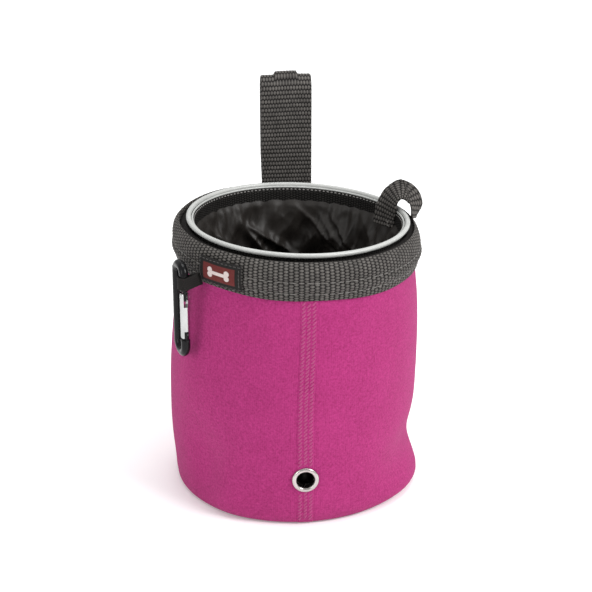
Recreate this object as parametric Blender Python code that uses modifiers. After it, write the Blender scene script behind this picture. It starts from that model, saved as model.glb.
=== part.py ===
"""Treat pouch: a round neoprene cup with a webbing collar, a lining bag held open by a hoop in
the rim, a belt loop at the back, a pull loop at one side, and a mini carabiner on a ribbon tab.

Metres, +Z up. The origin is the centre of the flat base, the front seam faces -Y, the belt loop
is at +Y, the pull loop at +X and the carabiner at the left of the front.
"""

import math

import bmesh
import bpy
from mathutils import Matrix, Vector

# Clearance between touching pieces, and facets of every turned piece.
GAP = 0.0003
STEPS = 36

# Neoprene cup: widest at its base, drawn in a little at the belly and more at the neck.
BASE_RADIUS = 0.054
BELLY_DRAW = 0.0003
BELLY_HEIGHT = 0.045
NECK_DRAW = 0.0036
NECK_SLOPE = 0.175
POUCH_HEIGHT = 0.1198
WALL = 0.003
LINING_WALL = 0.0006
LINING_SLACK = 0.0022
LINING_HEM = 0.0017
LINING_SPREAD = 0.04
LINING_FOOT = 0.009
LINING_FOOT_DRAW = 0.0032
BINDING_WIDTH = 0.0042
BINDING_HEIGHT = 0.0047
BINDING_THICKNESS = 0.0006

# Rim: piping cord, its flange, the stiff hoop and the facing behind it.
RIM_SEAT = 0.00036
FACING_INSET = 0.0013
PIPING_RADIUS = 0.0012
FLANGE_THICKNESS = 0.0005
FLANGE_DEPTH = 0.0038
HOOP_RADIUS = 0.0006
HOOP_DEPTH = 0.0073
FACING_THICKNESS = 0.001
FACING_HEIGHT = 0.0065

# Webbing collar.
COLLAR_HEIGHT = 0.0165
COLLAR_DROP = 0.0018
COLLAR_EDGE = 0.0006
COLLAR_BULGE = 0.0022
COLLAR_LOWER_ROW = 0.0035
COLLAR_UPPER_ROW = 0.0085
THREAD_RADIUS = 0.0002
ROW_RISE = 0.0001
ROW_STITCHES = 36

# Front seam and eyelet.
SEAM_WIDTH = 0.0062
SEAM_PITCH = 0.0032
EYELET_HEIGHT = 0.0225
EYELET_HOLE = 0.0037
EYELET_RADIUS = 0.0055
EYELET_METAL = 0.0004
EYELET_DOME = 0.0008

# Belt loop: a folded strap on a sewn anchor.
STRAP_WIDTH = 0.0226
STRAP_THICKNESS = 0.0014
STRAP_HEIGHT = 0.0485
STRAP_OPENING = 0.0088
STRAP_SEWN = 0.003
STRAP_SIDE = 0.0024
ANCHOR_HEIGHT = 0.0135

# Pull loop over the rim.
PULL_WIDTH = 0.012
PULL_THICKNESS = 0.0012
PULL_RISE = 0.0125
PULL_TURN = math.radians(14.0)
PULL_INSIDE = 0.011
PULL_OUTSIDE = 0.0058

# Woven label, angles measured to the left of the front.
LABEL_START = math.radians(30.0)
LABEL_END = math.radians(51.5)
LABEL_HEIGHT = 0.0112
LABEL_LIFT = 0.0022
LABEL_THICKNESS = 0.0006
FIELD_MARGIN = 0.0022
EMBLEM_LENGTH = 0.0105
EMBLEM_KNOB = 0.0012

# Carabiner and the ribbon tab that holds it.
TAB_SPARE = 0.00016
CLIP_LENGTH = 0.042
CLIP_WIDTH = 0.0138
CLIP_WIRE = 0.0019
CLIP_TOP_DROP = 0.0071
CLIP_TURN = math.radians(20.5)
CLIP_SPARE = 0.0015
NOSE_RISE = 0.0071
GATE_LENGTH = 0.020
GATE_TONGUE = 0.0012
GATE_SLOT = 0.0018
RIVET_RADIUS = 0.0006
PIN_RADIUS = 0.0005
TAB_THICKNESS = 0.0007
TAB_HEIGHT = 0.0045
SPRING_RADIUS = 0.0006
SPRING_WIRE = 0.0002

# Heights and radii that follow from the sizes above.
BELLY_RADIUS = BASE_RADIUS - BELLY_DRAW
NECK_RADIUS = BASE_RADIUS - NECK_DRAW
SHELL_TOP = POUCH_HEIGHT - 2 * PIPING_RADIUS - 0.0014
COLLAR_TOP = POUCH_HEIGHT - COLLAR_DROP
COLLAR_BOTTOM = COLLAR_TOP - COLLAR_HEIGHT
RIM_RADIUS = NECK_RADIUS - NECK_SLOPE * (SHELL_TOP - COLLAR_BOTTOM) - WALL - RIM_SEAT
PIPING_Z = POUCH_HEIGHT - PIPING_RADIUS
FACING_OUTER = RIM_RADIUS - FACING_INSET
FACING_INNER = FACING_OUTER - FACING_THICKNESS
FACING_TOP = POUCH_HEIGHT - 0.0028
LINING_TOP_RADIUS = FACING_INNER - 2 * GAP
LINING_TOP = FACING_TOP - FACING_HEIGHT + 0.001
STRAP_AXIS_Z = POUCH_HEIGHT - 0.0028
# What lies over the collar's stitching clears the threads.
OVER_ROWS = GAP + 2 * THREAD_RADIUS + ROW_RISE + GAP


def clear_scene():
    for obj in list(bpy.data.objects):
        bpy.data.objects.remove(obj, do_unlink=True)


def new_collection(name, hidden=False):
    collection = bpy.data.collections.new(name)
    collection.hide_render = hidden
    bpy.context.scene.collection.children.link(collection)
    return collection


def paint(name, colour, roughness, metallic=0.0):
    material = bpy.data.materials.new(name)
    material.use_nodes = True
    shader = material.node_tree.nodes["Principled BSDF"]
    shader.inputs["Base Color"].default_value = (*colour, 1.0)
    shader.inputs["Roughness"].default_value = roughness
    shader.inputs["Metallic"].default_value = metallic
    return material


def add(name, data, material, collection=None):
    obj = bpy.data.objects.new(name, data)
    (collection or PARTS).objects.link(obj)
    if material:
        data.materials.append(material)
    return obj


def add_bmesh(name, bm, material, collection=None):
    mesh = bpy.data.meshes.new(name)
    bmesh.ops.recalc_face_normals(bm, faces=bm.faces)
    bm.to_mesh(mesh)
    bm.free()
    mesh.shade_smooth()
    mesh.set_sharp_from_angle(angle=math.radians(35))
    return add(name, mesh, material, collection)


def cutter(obj):
    obj.hide_render = True
    obj.display_type = "WIRE"
    return obj


def boolean(obj, tool, operation="DIFFERENCE"):
    modifier = obj.modifiers.new(tool.name, "BOOLEAN")
    modifier.operation = operation
    modifier.object = tool
    modifier.solver = "EXACT"
    return modifier


def turned(name, profile, material, steps=STEPS):
    """A closed (radius, height) outline, listed down its outer side, turned about Z."""
    mesh = bpy.data.meshes.new(name)
    count = len(profile)
    edges = [(i, (i + 1) % count) for i in range(count)]
    if profile[0][0] == 0 and profile[-1][0] == 0:
        edges.pop()
    mesh.from_pydata([(r, 0, z) for r, z in profile], edges, [])
    obj = add(name, mesh, material)
    screw = obj.modifiers.new("Turn", "SCREW")
    screw.angle = math.tau
    screw.steps = screw.render_steps = steps
    screw.use_merge_vertices = True
    screw.merge_threshold = 0.00001
    screw.use_smooth_shade = True
    return obj


def thread(name, points, radius, material, closed=False, resolution=0):
    """A round thread or wire along points."""
    curve = bpy.data.curves.new(name, "CURVE")
    curve.dimensions = "3D"
    curve.bevel_depth = radius
    curve.bevel_resolution = resolution
    curve.use_fill_caps = not closed
    spline = curve.splines.new("POLY")
    spline.points.add(len(points) - 1)
    for point, place in zip(spline.points, points):
        point.co = (*place, 1.0)
    spline.use_cyclic_u = closed
    return add(name, curve, material)


def outline(name, points, depth, material, collection=None):
    """A flat outline in the XY plane, filled and given a depth along Z, half to each side."""
    curve = bpy.data.curves.new(name, "CURVE")
    curve.dimensions = "2D"
    curve.fill_mode = "BOTH"
    curve.extrude = depth / 2
    spline = curve.splines.new("POLY")
    spline.points.add(len(points) - 1)
    for point, (x, y) in zip(spline.points, points):
        point.co = (x, y, 0.0, 1.0)
    spline.use_cyclic_u = True
    return add(name, curve, material, collection)


def meshed(obj):
    """The same object as a welded mesh, so that it can be cut, joined or bent."""
    bpy.context.view_layer.update()
    graph = bpy.context.evaluated_depsgraph_get()
    mesh = bpy.data.meshes.new_from_object(obj.evaluated_get(graph))
    mesh.transform(obj.matrix_world)
    bm = bmesh.new()
    bm.from_mesh(mesh)
    bmesh.ops.remove_doubles(bm, verts=bm.verts, dist=0.000001)
    bmesh.ops.recalc_face_normals(bm, faces=bm.faces)
    bm.to_mesh(mesh)
    bm.free()
    name = obj.name
    collection = obj.users_collection[0]
    bpy.data.objects.remove(obj, do_unlink=True)
    fresh = bpy.data.objects.new(name, mesh)
    collection.objects.link(fresh)
    return fresh


def strip(path, thickness):
    """The closed outline of a strap of this thickness whose middle follows path."""
    sides = ([], [])
    for i, here in enumerate(path):
        before = Vector(path[max(i - 1, 0)])
        after = Vector(path[min(i + 1, len(path) - 1)])
        along = (after - before).normalized()
        across = Vector((-along.y, along.x)) * thickness / 2
        sides[0].append(tuple(Vector(here) + across))
        sides[1].append(tuple(Vector(here) - across))
    return sides[0] + sides[1][::-1]


def arc(centre, radius, start, end, count):
    """Points on an arc in a plane, angles in degrees."""
    angles = [math.radians(start + (end - start) * i / count) for i in range(count + 1)]
    return [(centre[0] + radius * math.cos(a), centre[1] + radius * math.sin(a)) for a in angles]


def body_radius(z):
    """Outer radius of the neoprene wall: full below, drawn in towards the collar."""
    if z <= BELLY_HEIGHT:
        share = max(0.0, (z - WALL) / (BELLY_HEIGHT - WALL))
        return BASE_RADIUS + (BELLY_RADIUS - BASE_RADIUS) * share
    if z <= COLLAR_BOTTOM:
        share = (z - BELLY_HEIGHT) / (COLLAR_BOTTOM - BELLY_HEIGHT)
        return BELLY_RADIUS + (NECK_RADIUS - BELLY_RADIUS) * share**2
    return NECK_RADIUS - NECK_SLOPE * (z - COLLAR_BOTTOM)


def collar_radius(z):
    """Outer radius of the puffy collar: it swells just below its middle and rolls in on top."""
    share = min(1.0, max(0.0, (z - COLLAR_BOTTOM) / COLLAR_HEIGHT))
    edge = NECK_RADIUS + COLLAR_EDGE
    bulge = NECK_RADIUS + COLLAR_BULGE
    inner = body_radius(SHELL_TOP) - GAP / 2
    middle = 0.45
    if share < middle:
        return edge + (bulge - edge) * math.sin(share / middle * math.pi / 2)
    return inner + (bulge - inner) * math.sqrt(1 - ((share - middle) / (1 - middle)) ** 2.4)


def polar(angle, radius, z=0.0):
    """A point at an angle to the left of the front."""
    return (-radius * math.sin(angle), -radius * math.cos(angle), z)


def levels(low, high, count):
    return [low + (high - low) * i / count for i in range(count + 1)]


def make_shell(material):
    outer = [(body_radius(z), z) for z in levels(COLLAR_BOTTOM, SHELL_TOP, 2)[::-1]]
    outer += [(body_radius(z), z) for z in levels(BELLY_HEIGHT, COLLAR_BOTTOM, 4)[-2::-1]]
    corner = BASE_RADIUS - WALL
    outer += arc((corner, WALL), WALL, 0, -90, 3)
    inner = [(corner, WALL)]
    inner += [(body_radius(z) - WALL, z) for z in levels(BELLY_HEIGHT, COLLAR_BOTTOM, 4)]
    inner += [(body_radius(SHELL_TOP) - WALL, SHELL_TOP)]
    shell = turned("outer_shell", outer + inner, material)
    hole = EYELET_HOLE + EYELET_METAL + GAP
    bm = bmesh.new()
    across = Matrix.Translation((0, -BASE_RADIUS, EYELET_HEIGHT)) @ Matrix.Rotation(math.pi / 2, 4, "X")
    bmesh.ops.create_cone(bm, cap_ends=True, segments=24, radius1=hole, radius2=hole,
                          depth=4 * WALL, matrix=across)
    boolean(shell, cutter(add_bmesh("eyelet_cut", bm, None, CUTTERS)))
    return shell


def make_base(neoprene, tape):
    radius = BASE_RADIUS - WALL - GAP
    turned("base_panel", [(0, WALL), (radius, WALL), (radius, 0), (0, 0)], neoprene)
    low = WALL + GAP
    inner = radius - BINDING_WIDTH
    wall = radius - BINDING_THICKNESS
    turned("base_seam_binding", [
        (radius, low + BINDING_HEIGHT), (radius, low), (inner, low), (inner, low + BINDING_THICKNESS),
        (wall, low + BINDING_THICKNESS), (wall, low + BINDING_HEIGHT)], tape)


def make_seam(name, low, high, material):
    """Flatlock thread zigzagging across the front seam between two heights."""
    count = max(2, round((high - low) / SEAM_PITCH) * 2)
    points = []
    for i, z in enumerate(levels(low, high, count)):
        side = SEAM_WIDTH / 2 if i % 2 else -SEAM_WIDTH / 2
        points.append((side, -(body_radius(z) + GAP + THREAD_RADIUS), z))
    thread(name, points, THREAD_RADIUS, material)


def make_collar(webbing):
    outer = [(collar_radius(z), z) for z in levels(COLLAR_BOTTOM, COLLAR_TOP - 0.0003, 9)[::-1]]
    top = collar_radius(COLLAR_TOP)
    shell_top = body_radius(SHELL_TOP) + GAP
    inner = [(body_radius(COLLAR_BOTTOM) + GAP, COLLAR_BOTTOM), (shell_top, SHELL_TOP),
             (shell_top, SHELL_TOP + GAP), (top, SHELL_TOP + GAP), (top, COLLAR_TOP)]
    turned("collar_webbing", outer + inner, webbing)


def make_row(name, radius, z, material, inward=False):
    """A row of lockstitches round a ring: one thread that rises and dips."""
    points = []
    sign = -1 if inward else 1
    for i in range(2 * ROW_STITCHES):
        lift = GAP + THREAD_RADIUS + (ROW_RISE if i % 2 else 0)
        here = radius + sign * lift
        points.append(polar(math.tau * i / (2 * ROW_STITCHES), here, z))
    thread(name, points, THREAD_RADIUS, material, closed=True)


def make_rim(steel, piping, tape, webbing, yarn):
    turned("rim_hoop", arc((FACING_OUTER + 2 * GAP + HOOP_RADIUS, POUCH_HEIGHT - HOOP_DEPTH),
                           HOOP_RADIUS, 90, -210, 5), steel)
    flange_out = FACING_OUTER + GAP + FLANGE_THICKNESS
    flange_in = FACING_OUTER + GAP
    low = PIPING_Z - PIPING_RADIUS - FLANGE_DEPTH
    cord = arc((RIM_RADIUS, PIPING_Z), PIPING_RADIUS, 90, -110, 5)
    back = arc((RIM_RADIUS, PIPING_Z), PIPING_RADIUS, -145, -225, 2)
    turned("rim_piping", cord + [(flange_out, low), (flange_in, low)] + back, piping)
    inner = RIM_RADIUS + PIPING_RADIUS + GAP
    outer = body_radius(SHELL_TOP) - GAP / 2 - GAP
    low = SHELL_TOP + GAP
    high = COLLAR_TOP - GAP
    turned("piping_binding", [(outer, high), (outer, low), (inner, low), (inner, high)], tape)
    low = FACING_TOP - FACING_HEIGHT
    turned("inner_facing", [(FACING_OUTER, FACING_TOP), (FACING_OUTER, low),
                            (FACING_INNER, low), (FACING_INNER, FACING_TOP)], webbing)
    flat = math.cos(math.pi / STEPS)
    make_row("inner_facing_stitching", FACING_INNER * flat, FACING_TOP - 0.0017, yarn, inward=True)


def make_lining(nylon):
    """The lining bag hangs from the facing, spreads to the wall and draws in over the base binding."""
    foot = WALL + 3 * GAP + BINDING_THICKNESS
    room = BASE_RADIUS - WALL - LINING_SLACK
    start = LINING_TOP - LINING_HEM
    outer = [(LINING_TOP_RADIUS, LINING_TOP), (LINING_TOP_RADIUS, start)]
    for share in (1 / 3, 2 / 3, 1):
        spread = 1 - (1 - share) ** 2
        outer.append((LINING_TOP_RADIUS + (room - LINING_TOP_RADIUS) * spread, start - share * LINING_SPREAD))
    outer += [(room, foot + LINING_FOOT), (room - LINING_FOOT_DRAW, foot)]
    inner = [(r - LINING_WALL, z) for r, z in outer[:-1]]
    inner.append((outer[-1][0] - LINING_WALL, foot + LINING_WALL))
    turned("lining_bag", outer + [(0, foot), (0, foot + LINING_WALL)] + inner[::-1], nylon)


def make_eyelet(nickel):
    face = body_radius(EYELET_HEIGHT) + GAP
    barrel = EYELET_HOLE + EYELET_METAL
    sag = EYELET_RADIUS * math.tan(math.pi / STEPS)
    low = -(WALL + sag + 2 * GAP)
    through = -low + EYELET_METAL + GAP
    flange = EYELET_RADIUS - EYELET_HOLE
    dome = [(EYELET_HOLE + share * flange, EYELET_DOME * rise)
            for share, rise in ((0.05, 0.6), (0.35, 1.0), (0.75, 0.75))]
    profile = [(EYELET_RADIUS, 0.0002), (EYELET_RADIUS, 0), (barrel, 0), (barrel, -through),
               (EYELET_HOLE, -through)] + dome
    front = turned("eyelet_front", profile, nickel, 24)
    place = Matrix.Translation((0, -face, EYELET_HEIGHT)) @ Matrix.Rotation(math.pi / 2, 4, "X")
    front.matrix_world = place
    washer = turned("eyelet_washer", [(EYELET_RADIUS, low), (EYELET_RADIUS, low - EYELET_METAL),
                                      (barrel + GAP, low - EYELET_METAL), (barrel + GAP, low)], nickel, 24)
    washer.matrix_world = place


def upright(obj, place, width_along):
    """Stands an outline drawn in XY up, with its Y upward and its depth along a direction."""
    x_axis = Vector((0, 0, 1)).cross(Vector(width_along)) * -1
    turn = Matrix((x_axis, (0, 0, 1), width_along)).transposed().to_4x4()
    obj.matrix_world = Matrix.Translation(place) @ turn


def strap_axis_y():
    """The belt loop stands on the collar's outer face, on two layers of strap."""
    return NECK_RADIUS + COLLAR_BULGE + OVER_ROWS + STRAP_THICKNESS + GAP / 2


def make_belt_loop(webbing, yarn):
    half = (STRAP_THICKNESS + GAP) / 2
    far = STRAP_OPENING - half
    radius = STRAP_OPENING / 2
    straight = 0.25 * STRAP_HEIGHT
    path = [(half, 0), (half, straight)]
    path += arc((half - radius, STRAP_HEIGHT - radius - STRAP_THICKNESS / 2), radius, 0, 180, 8)
    path += [(-far, 0.5 * STRAP_HEIGHT), (-0.8 * far, straight), (-half, STRAP_SEWN), (-half, 0)]
    loop = outline("belt_loop", strip(path, STRAP_THICKNESS), STRAP_WIDTH, webbing)
    upright(loop, (STRAP_SIDE, strap_axis_y(), STRAP_AXIS_Z), (1, 0, 0))
    thick = 2 * STRAP_THICKNESS + GAP
    top = STRAP_AXIS_Z - thick / 2 - GAP
    bm = bmesh.new()
    size = Matrix.Diagonal((STRAP_WIDTH, thick, ANCHOR_HEIGHT, 1))
    bmesh.ops.create_cube(bm, size=1, matrix=Matrix.Translation(
        (STRAP_SIDE, strap_axis_y(), top - ANCHOR_HEIGHT / 2)) @ size)
    add_bmesh("belt_loop_anchor", bm, webbing)
    back = strap_axis_y() + thick / 2 + GAP + THREAD_RADIUS
    points = []
    for i, x in enumerate(levels(-0.4 * STRAP_WIDTH, 0.4 * STRAP_WIDTH, 16)):
        points.append((STRAP_SIDE + x, back, top - (0.004 if i % 2 else 0.002)))
    thread("belt_loop_tack", points, THREAD_RADIUS, yarn)


def make_pull_loop(webbing, yarn):
    inside = LINING_TOP_RADIUS - LINING_WALL - GAP - PULL_THICKNESS / 2 - 0.0009
    outside = RIM_RADIUS + PULL_OUTSIDE
    top = POUCH_HEIGHT + PULL_RISE - PULL_THICKNESS / 2
    span = (outside - inside) / 2
    middle = (outside + inside) / 2
    path = [(inside, POUCH_HEIGHT - PULL_INSIDE), (inside, POUCH_HEIGHT)]
    path += arc((middle, top - span), span, 180, 0, 8)
    path += [(outside, POUCH_HEIGHT + 0.002), (outside - 0.0008, COLLAR_TOP + GAP + 0.0003)]
    loop = outline("pull_loop", strip(path, PULL_THICKNESS), PULL_WIDTH, webbing)
    round_rim = Matrix.Rotation(PULL_TURN, 4, "Z")
    loop.matrix_world = round_rim @ Matrix(((1, 0, 0, 0), (0, 0, -1, 0), (0, 1, 0, 0), (0, 0, 0, 1)))
    face = inside - PULL_THICKNESS / 2 - GAP - THREAD_RADIUS
    points = []
    for i, y in enumerate(levels(-0.4 * PULL_WIDTH, 0.4 * PULL_WIDTH, 12)):
        points.append((face, y, POUCH_HEIGHT - PULL_INSIDE + (0.0035 if i % 2 else 0.0015)))
    thread("pull_loop_tack", points, THREAD_RADIUS, yarn).matrix_world = round_rim


def wrap(obj, lift, material):
    """Bends a flat piece drawn in XY (Y up, Z outward) onto the collar around the label."""
    middle = (LABEL_START + LABEL_END) / 2
    base = label_middle_height()
    for vertex in obj.data.vertices:
        x, y, out = vertex.co
        z = base + y
        radius = collar_radius(z)
        angle = middle - x / (NECK_RADIUS + COLLAR_BULGE)
        vertex.co = polar(angle, radius + lift + out, z)
    obj.data.materials.clear()
    obj.data.materials.append(material)
    obj.data.shade_smooth()
    return obj


def label_middle_height():
    return COLLAR_BOTTOM + LABEL_LIFT + LABEL_HEIGHT / 2


def flat_panel(name, width, height, thickness, columns, rows):
    """A thin box in XY, cut into cells so that it can bend."""
    bm = bmesh.new()
    bmesh.ops.create_grid(bm, x_segments=columns, y_segments=rows, size=0.5)
    bmesh.ops.scale(bm, vec=(width, height, 1), verts=bm.verts)
    extruded = bmesh.ops.extrude_face_region(bm, geom=bm.faces[:])
    raised = [part for part in extruded["geom"] if isinstance(part, bmesh.types.BMVert)]
    bmesh.ops.translate(bm, vec=(0, 0, thickness), verts=raised)
    return add_bmesh(name, bm, None)


def bone_outline():
    """A plain bone: a bar with two round knobs at each end."""
    reach = EMBLEM_LENGTH / 2 - EMBLEM_KNOB
    knob = EMBLEM_KNOB
    bar = 0.55 * knob
    right = arc((reach, knob), knob, 215, -35, 6) + arc((reach, -knob), knob, 35, -215, 6)
    right += [(reach - knob, -bar)]
    left = [(-x, y) for x, y in right][::-1]
    return right + left + [(-reach + knob, bar), (reach - knob, bar)]


def make_label(black, red, white, yarn):
    width = (LABEL_END - LABEL_START) * (NECK_RADIUS + COLLAR_BULGE)
    patch = flat_panel("label_patch", width, LABEL_HEIGHT, LABEL_THICKNESS, 6, 5)
    wrap(patch, OVER_ROWS, black)
    lift = OVER_ROWS + LABEL_THICKNESS + GAP
    thin = LABEL_THICKNESS / 2
    field = flat_panel("label_field", width - 4 * FIELD_MARGIN, LABEL_HEIGHT - 3 * FIELD_MARGIN, thin, 5, 3)
    wrap(field, lift, red)
    emblem = meshed(outline("label_emblem", bone_outline(), thin, None))
    wrap(emblem, lift + thin + GAP + thin / 2, white)
    half_width = width / 2 - 0.0008
    half_height = LABEL_HEIGHT / 2 - 0.0008
    corners = [(-half_width, -half_height), (half_width, -half_height),
               (half_width, half_height), (-half_width, half_height)]
    points = []
    middle = (LABEL_START + LABEL_END) / 2
    for i, (x, y) in enumerate(corners):
        next_x, next_y = corners[(i + 1) % 4]
        for share in levels(0, 1, 6)[:-1]:
            here_x = x + (next_x - x) * share
            z = label_middle_height() + y + (next_y - y) * share
            radius = collar_radius(z) + OVER_ROWS + LABEL_THICKNESS + GAP + THREAD_RADIUS
            points.append(polar(middle - here_x / (NECK_RADIUS + COLLAR_BULGE), radius, z))
    thread("label_stitching", points, THREAD_RADIUS * 0.8, yarn, closed=True)


# Carabiner frame: along points forward, outward away from the pouch, and up is Z. Its plane is
# turned in from the wall's tangent about the front bar, so that its back bar lies near the wall.
def bar_radius():
    """Distance of the front bar from the pouch's axis: clear of label and tab."""
    return NECK_RADIUS + COLLAR_BULGE + OVER_ROWS + 2 * TAB_THICKNESS + CLIP_WIRE + CLIP_SPARE


def clip_frame():
    reach = CLIP_WIRE + GAP + TAB_THICKNESS + TAB_SPARE
    angle = LABEL_END + reach / bar_radius() + CLIP_TURN
    outward = Vector(polar(angle, 1.0))
    along = Vector((math.cos(angle), -math.sin(angle), 0.0))
    return along, outward


def clip_point(u, z, out=0.0):
    along, outward = clip_frame()
    middle = outward * math.cos(CLIP_TURN) + along * math.sin(CLIP_TURN)
    return middle * bar_radius() + outward * out + along * (u - BAR_U) + Vector((0, 0, z))


def clip_matrix(u, z):
    """Places a piece drawn in XY into the carabiner's plane: X forward, Y up, Z outward."""
    along, outward = clip_frame()
    turn = Matrix((along, (0, 0, 1), outward)).transposed().to_4x4()
    return Matrix.Translation(clip_point(u, z)) @ turn


CLIP_TOP = POUCH_HEIGHT - CLIP_TOP_DROP
BAR_U = CLIP_WIDTH / 2 - CLIP_WIRE
TOP_LINE = CLIP_TOP - CLIP_WIRE
LOW_LINE = CLIP_TOP - CLIP_LENGTH + CLIP_WIRE
FRONT_CORNER = CLIP_WIDTH / 4
BACK_CORNER = 0.32 * CLIP_WIDTH
NOSE_Z = LOW_LINE + NOSE_RISE
GATE_LOW = NOSE_Z + 0.0006
GATE_TOP = GATE_LOW + GATE_LENGTH
RIVET_Z = GATE_TOP - CLIP_WIRE + 0.0001
PIN_Z = GATE_LOW + 0.0013
STEM_Z = GATE_TOP + 0.0011


def slab(name, u, z_low, z_high, width, thick, material, collection=None):
    """A box in the carabiner's plane, thick across it."""
    bm = bmesh.new()
    size = Matrix.Diagonal((width, z_high - z_low, thick, 1))
    bmesh.ops.create_cube(bm, size=1, matrix=clip_matrix(u, (z_low + z_high) / 2) @ size)
    return add_bmesh(name, bm, material, collection)


def cross_rod(name, u, z, radius, length, material, collection=None, segments=12):
    """A short rod across the carabiner's plane."""
    bm = bmesh.new()
    bmesh.ops.create_cone(bm, cap_ends=True, segments=segments, radius1=radius, radius2=radius,
                          depth=length, matrix=clip_matrix(u, z))
    return add_bmesh(name, bm, material, collection)


def make_carabiner(black, silver, steel):
    path = [(BAR_U, STEM_Z), (BAR_U, TOP_LINE - FRONT_CORNER)]
    path += arc((BAR_U - FRONT_CORNER, TOP_LINE - FRONT_CORNER), FRONT_CORNER, 0, 90, 4)[1:]
    path += arc((-BAR_U + BACK_CORNER, TOP_LINE - BACK_CORNER), BACK_CORNER, 90, 180, 5)
    path += arc((-BAR_U + BACK_CORNER, LOW_LINE + BACK_CORNER), BACK_CORNER, 180, 270, 5)
    path += arc((BAR_U - BACK_CORNER, LOW_LINE + BACK_CORNER), BACK_CORNER, 270, 360, 5) + [(BAR_U, NOSE_Z)]
    wire = meshed(thread("carabiner_body", [clip_point(u, z) for u, z in path], CLIP_WIRE, None,
                         resolution=2))
    wire.data.materials.append(black)
    wire.data.shade_smooth()
    reach = RIVET_Z - 0.0015
    tongue = cutter(slab("tongue", BAR_U, reach, STEM_Z + 0.0008, 0.003, GATE_TONGUE, None, CUTTERS))
    boolean(wire, tongue, "UNION")
    hook_top = PIN_Z + PIN_RADIUS + GAP + 0.0008
    hook = cutter(slab("nose_hook", BAR_U, NOSE_Z - 0.0008, hook_top, 0.0024, GATE_TONGUE, None, CUTTERS))
    boolean(wire, hook, "UNION")
    room = PIN_RADIUS + GAP
    notch = cutter(slab("nose_notch", BAR_U - 0.0012 + room / 2, PIN_Z - room, PIN_Z + room,
                        0.0024 + room, 2 * GATE_TONGUE, None, CUTTERS))
    boolean(wire, notch)
    bore = cutter(cross_rod("tongue_bore", BAR_U, RIVET_Z, RIVET_RADIUS + GAP, 2 * GATE_TONGUE, None, CUTTERS))
    boolean(wire, bore)

    bm = bmesh.new()
    rod = clip_matrix(BAR_U, (GATE_LOW + GATE_TOP) / 2) @ Matrix.Rotation(math.pi / 2, 4, "X")
    bmesh.ops.create_cone(bm, cap_ends=True, segments=16, radius1=CLIP_WIRE, radius2=CLIP_WIRE,
                          depth=GATE_LENGTH, matrix=rod)
    gate = add_bmesh("carabiner_gate", bm, silver)
    slots = {
        "hinge_slot": (GATE_TOP - 0.0058, GATE_TOP + 0.001),
        "nose_slot": (GATE_LOW - 0.001, hook_top + 0.0005),
    }
    for name, (low, high) in slots.items():
        boolean(gate, cutter(slab(name, BAR_U, low, high, 3 * CLIP_WIRE, GATE_SLOT, None, CUTTERS)))
    for name, z, radius in (("rivet_bore", RIVET_Z, RIVET_RADIUS), ("pin_bore", PIN_Z, PIN_RADIUS)):
        tool = cross_rod(name, BAR_U, z, radius + GAP, 3 * CLIP_WIRE, None, CUTTERS)
        boolean(gate, cutter(tool))
    bm = bmesh.new()
    well = GATE_TOP - 0.0058
    room = SPRING_RADIUS + SPRING_WIRE + GAP
    bmesh.ops.create_cone(bm, cap_ends=True, segments=12, radius1=room, radius2=room, depth=0.012,
                          matrix=clip_matrix(BAR_U, well) @ Matrix.Rotation(math.pi / 2, 4, "X"))
    boolean(gate, cutter(add_bmesh("spring_well", bm, None, CUTTERS)))
    cross_rod("gate_rivet", BAR_U, RIVET_Z, RIVET_RADIUS, 2 * CLIP_WIRE, steel)
    cross_rod("gate_nose_pin", BAR_U, PIN_Z, PIN_RADIUS, 2 * CLIP_WIRE - 0.0004, steel, segments=10)
    turns = 4
    coil = []
    for i in range(turns * 8 + 1):
        angle = math.tau * i / 8
        z = well - 0.005 + 0.0044 * i / (turns * 8)
        side = SPRING_RADIUS * math.cos(angle)
        coil.append(clip_point(BAR_U + side, z, SPRING_RADIUS * math.sin(angle)))
    thread("gate_spring", coil, SPRING_WIRE, steel)


def make_tab(ribbon):
    """A ribbon folded round the carabiner's front bar, its two layers running to the label."""
    along, _ = clip_frame()
    bar = clip_point(BAR_U, 0)
    out = bar.normalized()
    back = Vector((0, 0, 1)).cross(out)
    if back.dot(along) > 0:
        back.negate()
    ring = CLIP_WIRE + GAP + TAB_THICKNESS / 2
    start = LABEL_END + math.radians(0.6)
    collar = NECK_RADIUS + COLLAR_BULGE + OVER_ROWS + TAB_THICKNESS / 2
    path = [Vector(polar(start, collar + TAB_THICKNESS + GAP))]
    for angle in levels(math.radians(-75), math.pi, 10):
        path.append(bar + out * ring * math.cos(angle) + back * ring * math.sin(angle))
    path.append(Vector(polar(start, collar)))
    tab = outline("carabiner_tab", strip([(p.x, p.y) for p in path], TAB_THICKNESS), TAB_HEIGHT, ribbon)
    high = TOP_LINE - FRONT_CORNER - 0.0001
    tab.location = (0, 0, high - TAB_HEIGHT / 2)


clear_scene()
PARTS = new_collection("treat_pouch")
CUTTERS = new_collection("cutters", hidden=True)

PINK = paint("pink_neoprene", (0.53, 0.055, 0.235), 0.9)
PINK_YARN = paint("pink_yarn", (0.58, 0.09, 0.29), 0.7)
GREY = paint("grey_webbing", (0.09, 0.085, 0.08), 0.85)
BLACK = paint("black_tape", (0.018, 0.017, 0.016), 0.8)
NYLON = paint("black_nylon", (0.02, 0.017, 0.015), 0.45)
SILVER_TAPE = paint("reflective_piping", (0.45, 0.46, 0.44), 0.4)
GREY_YARN = paint("grey_yarn", (0.2, 0.19, 0.18), 0.7)
RED = paint("label_red", (0.16, 0.03, 0.03), 0.7)
WHITE = paint("label_white", (0.75, 0.62, 0.6), 0.7)
GLOSS = paint("black_lacquer", (0.012, 0.012, 0.013), 0.2, 0.6)
CHROME = paint("bright_metal", (0.8, 0.8, 0.8), 0.15, 1.0)
STEEL = paint("spring_steel", (0.5, 0.5, 0.5), 0.35, 1.0)

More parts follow.
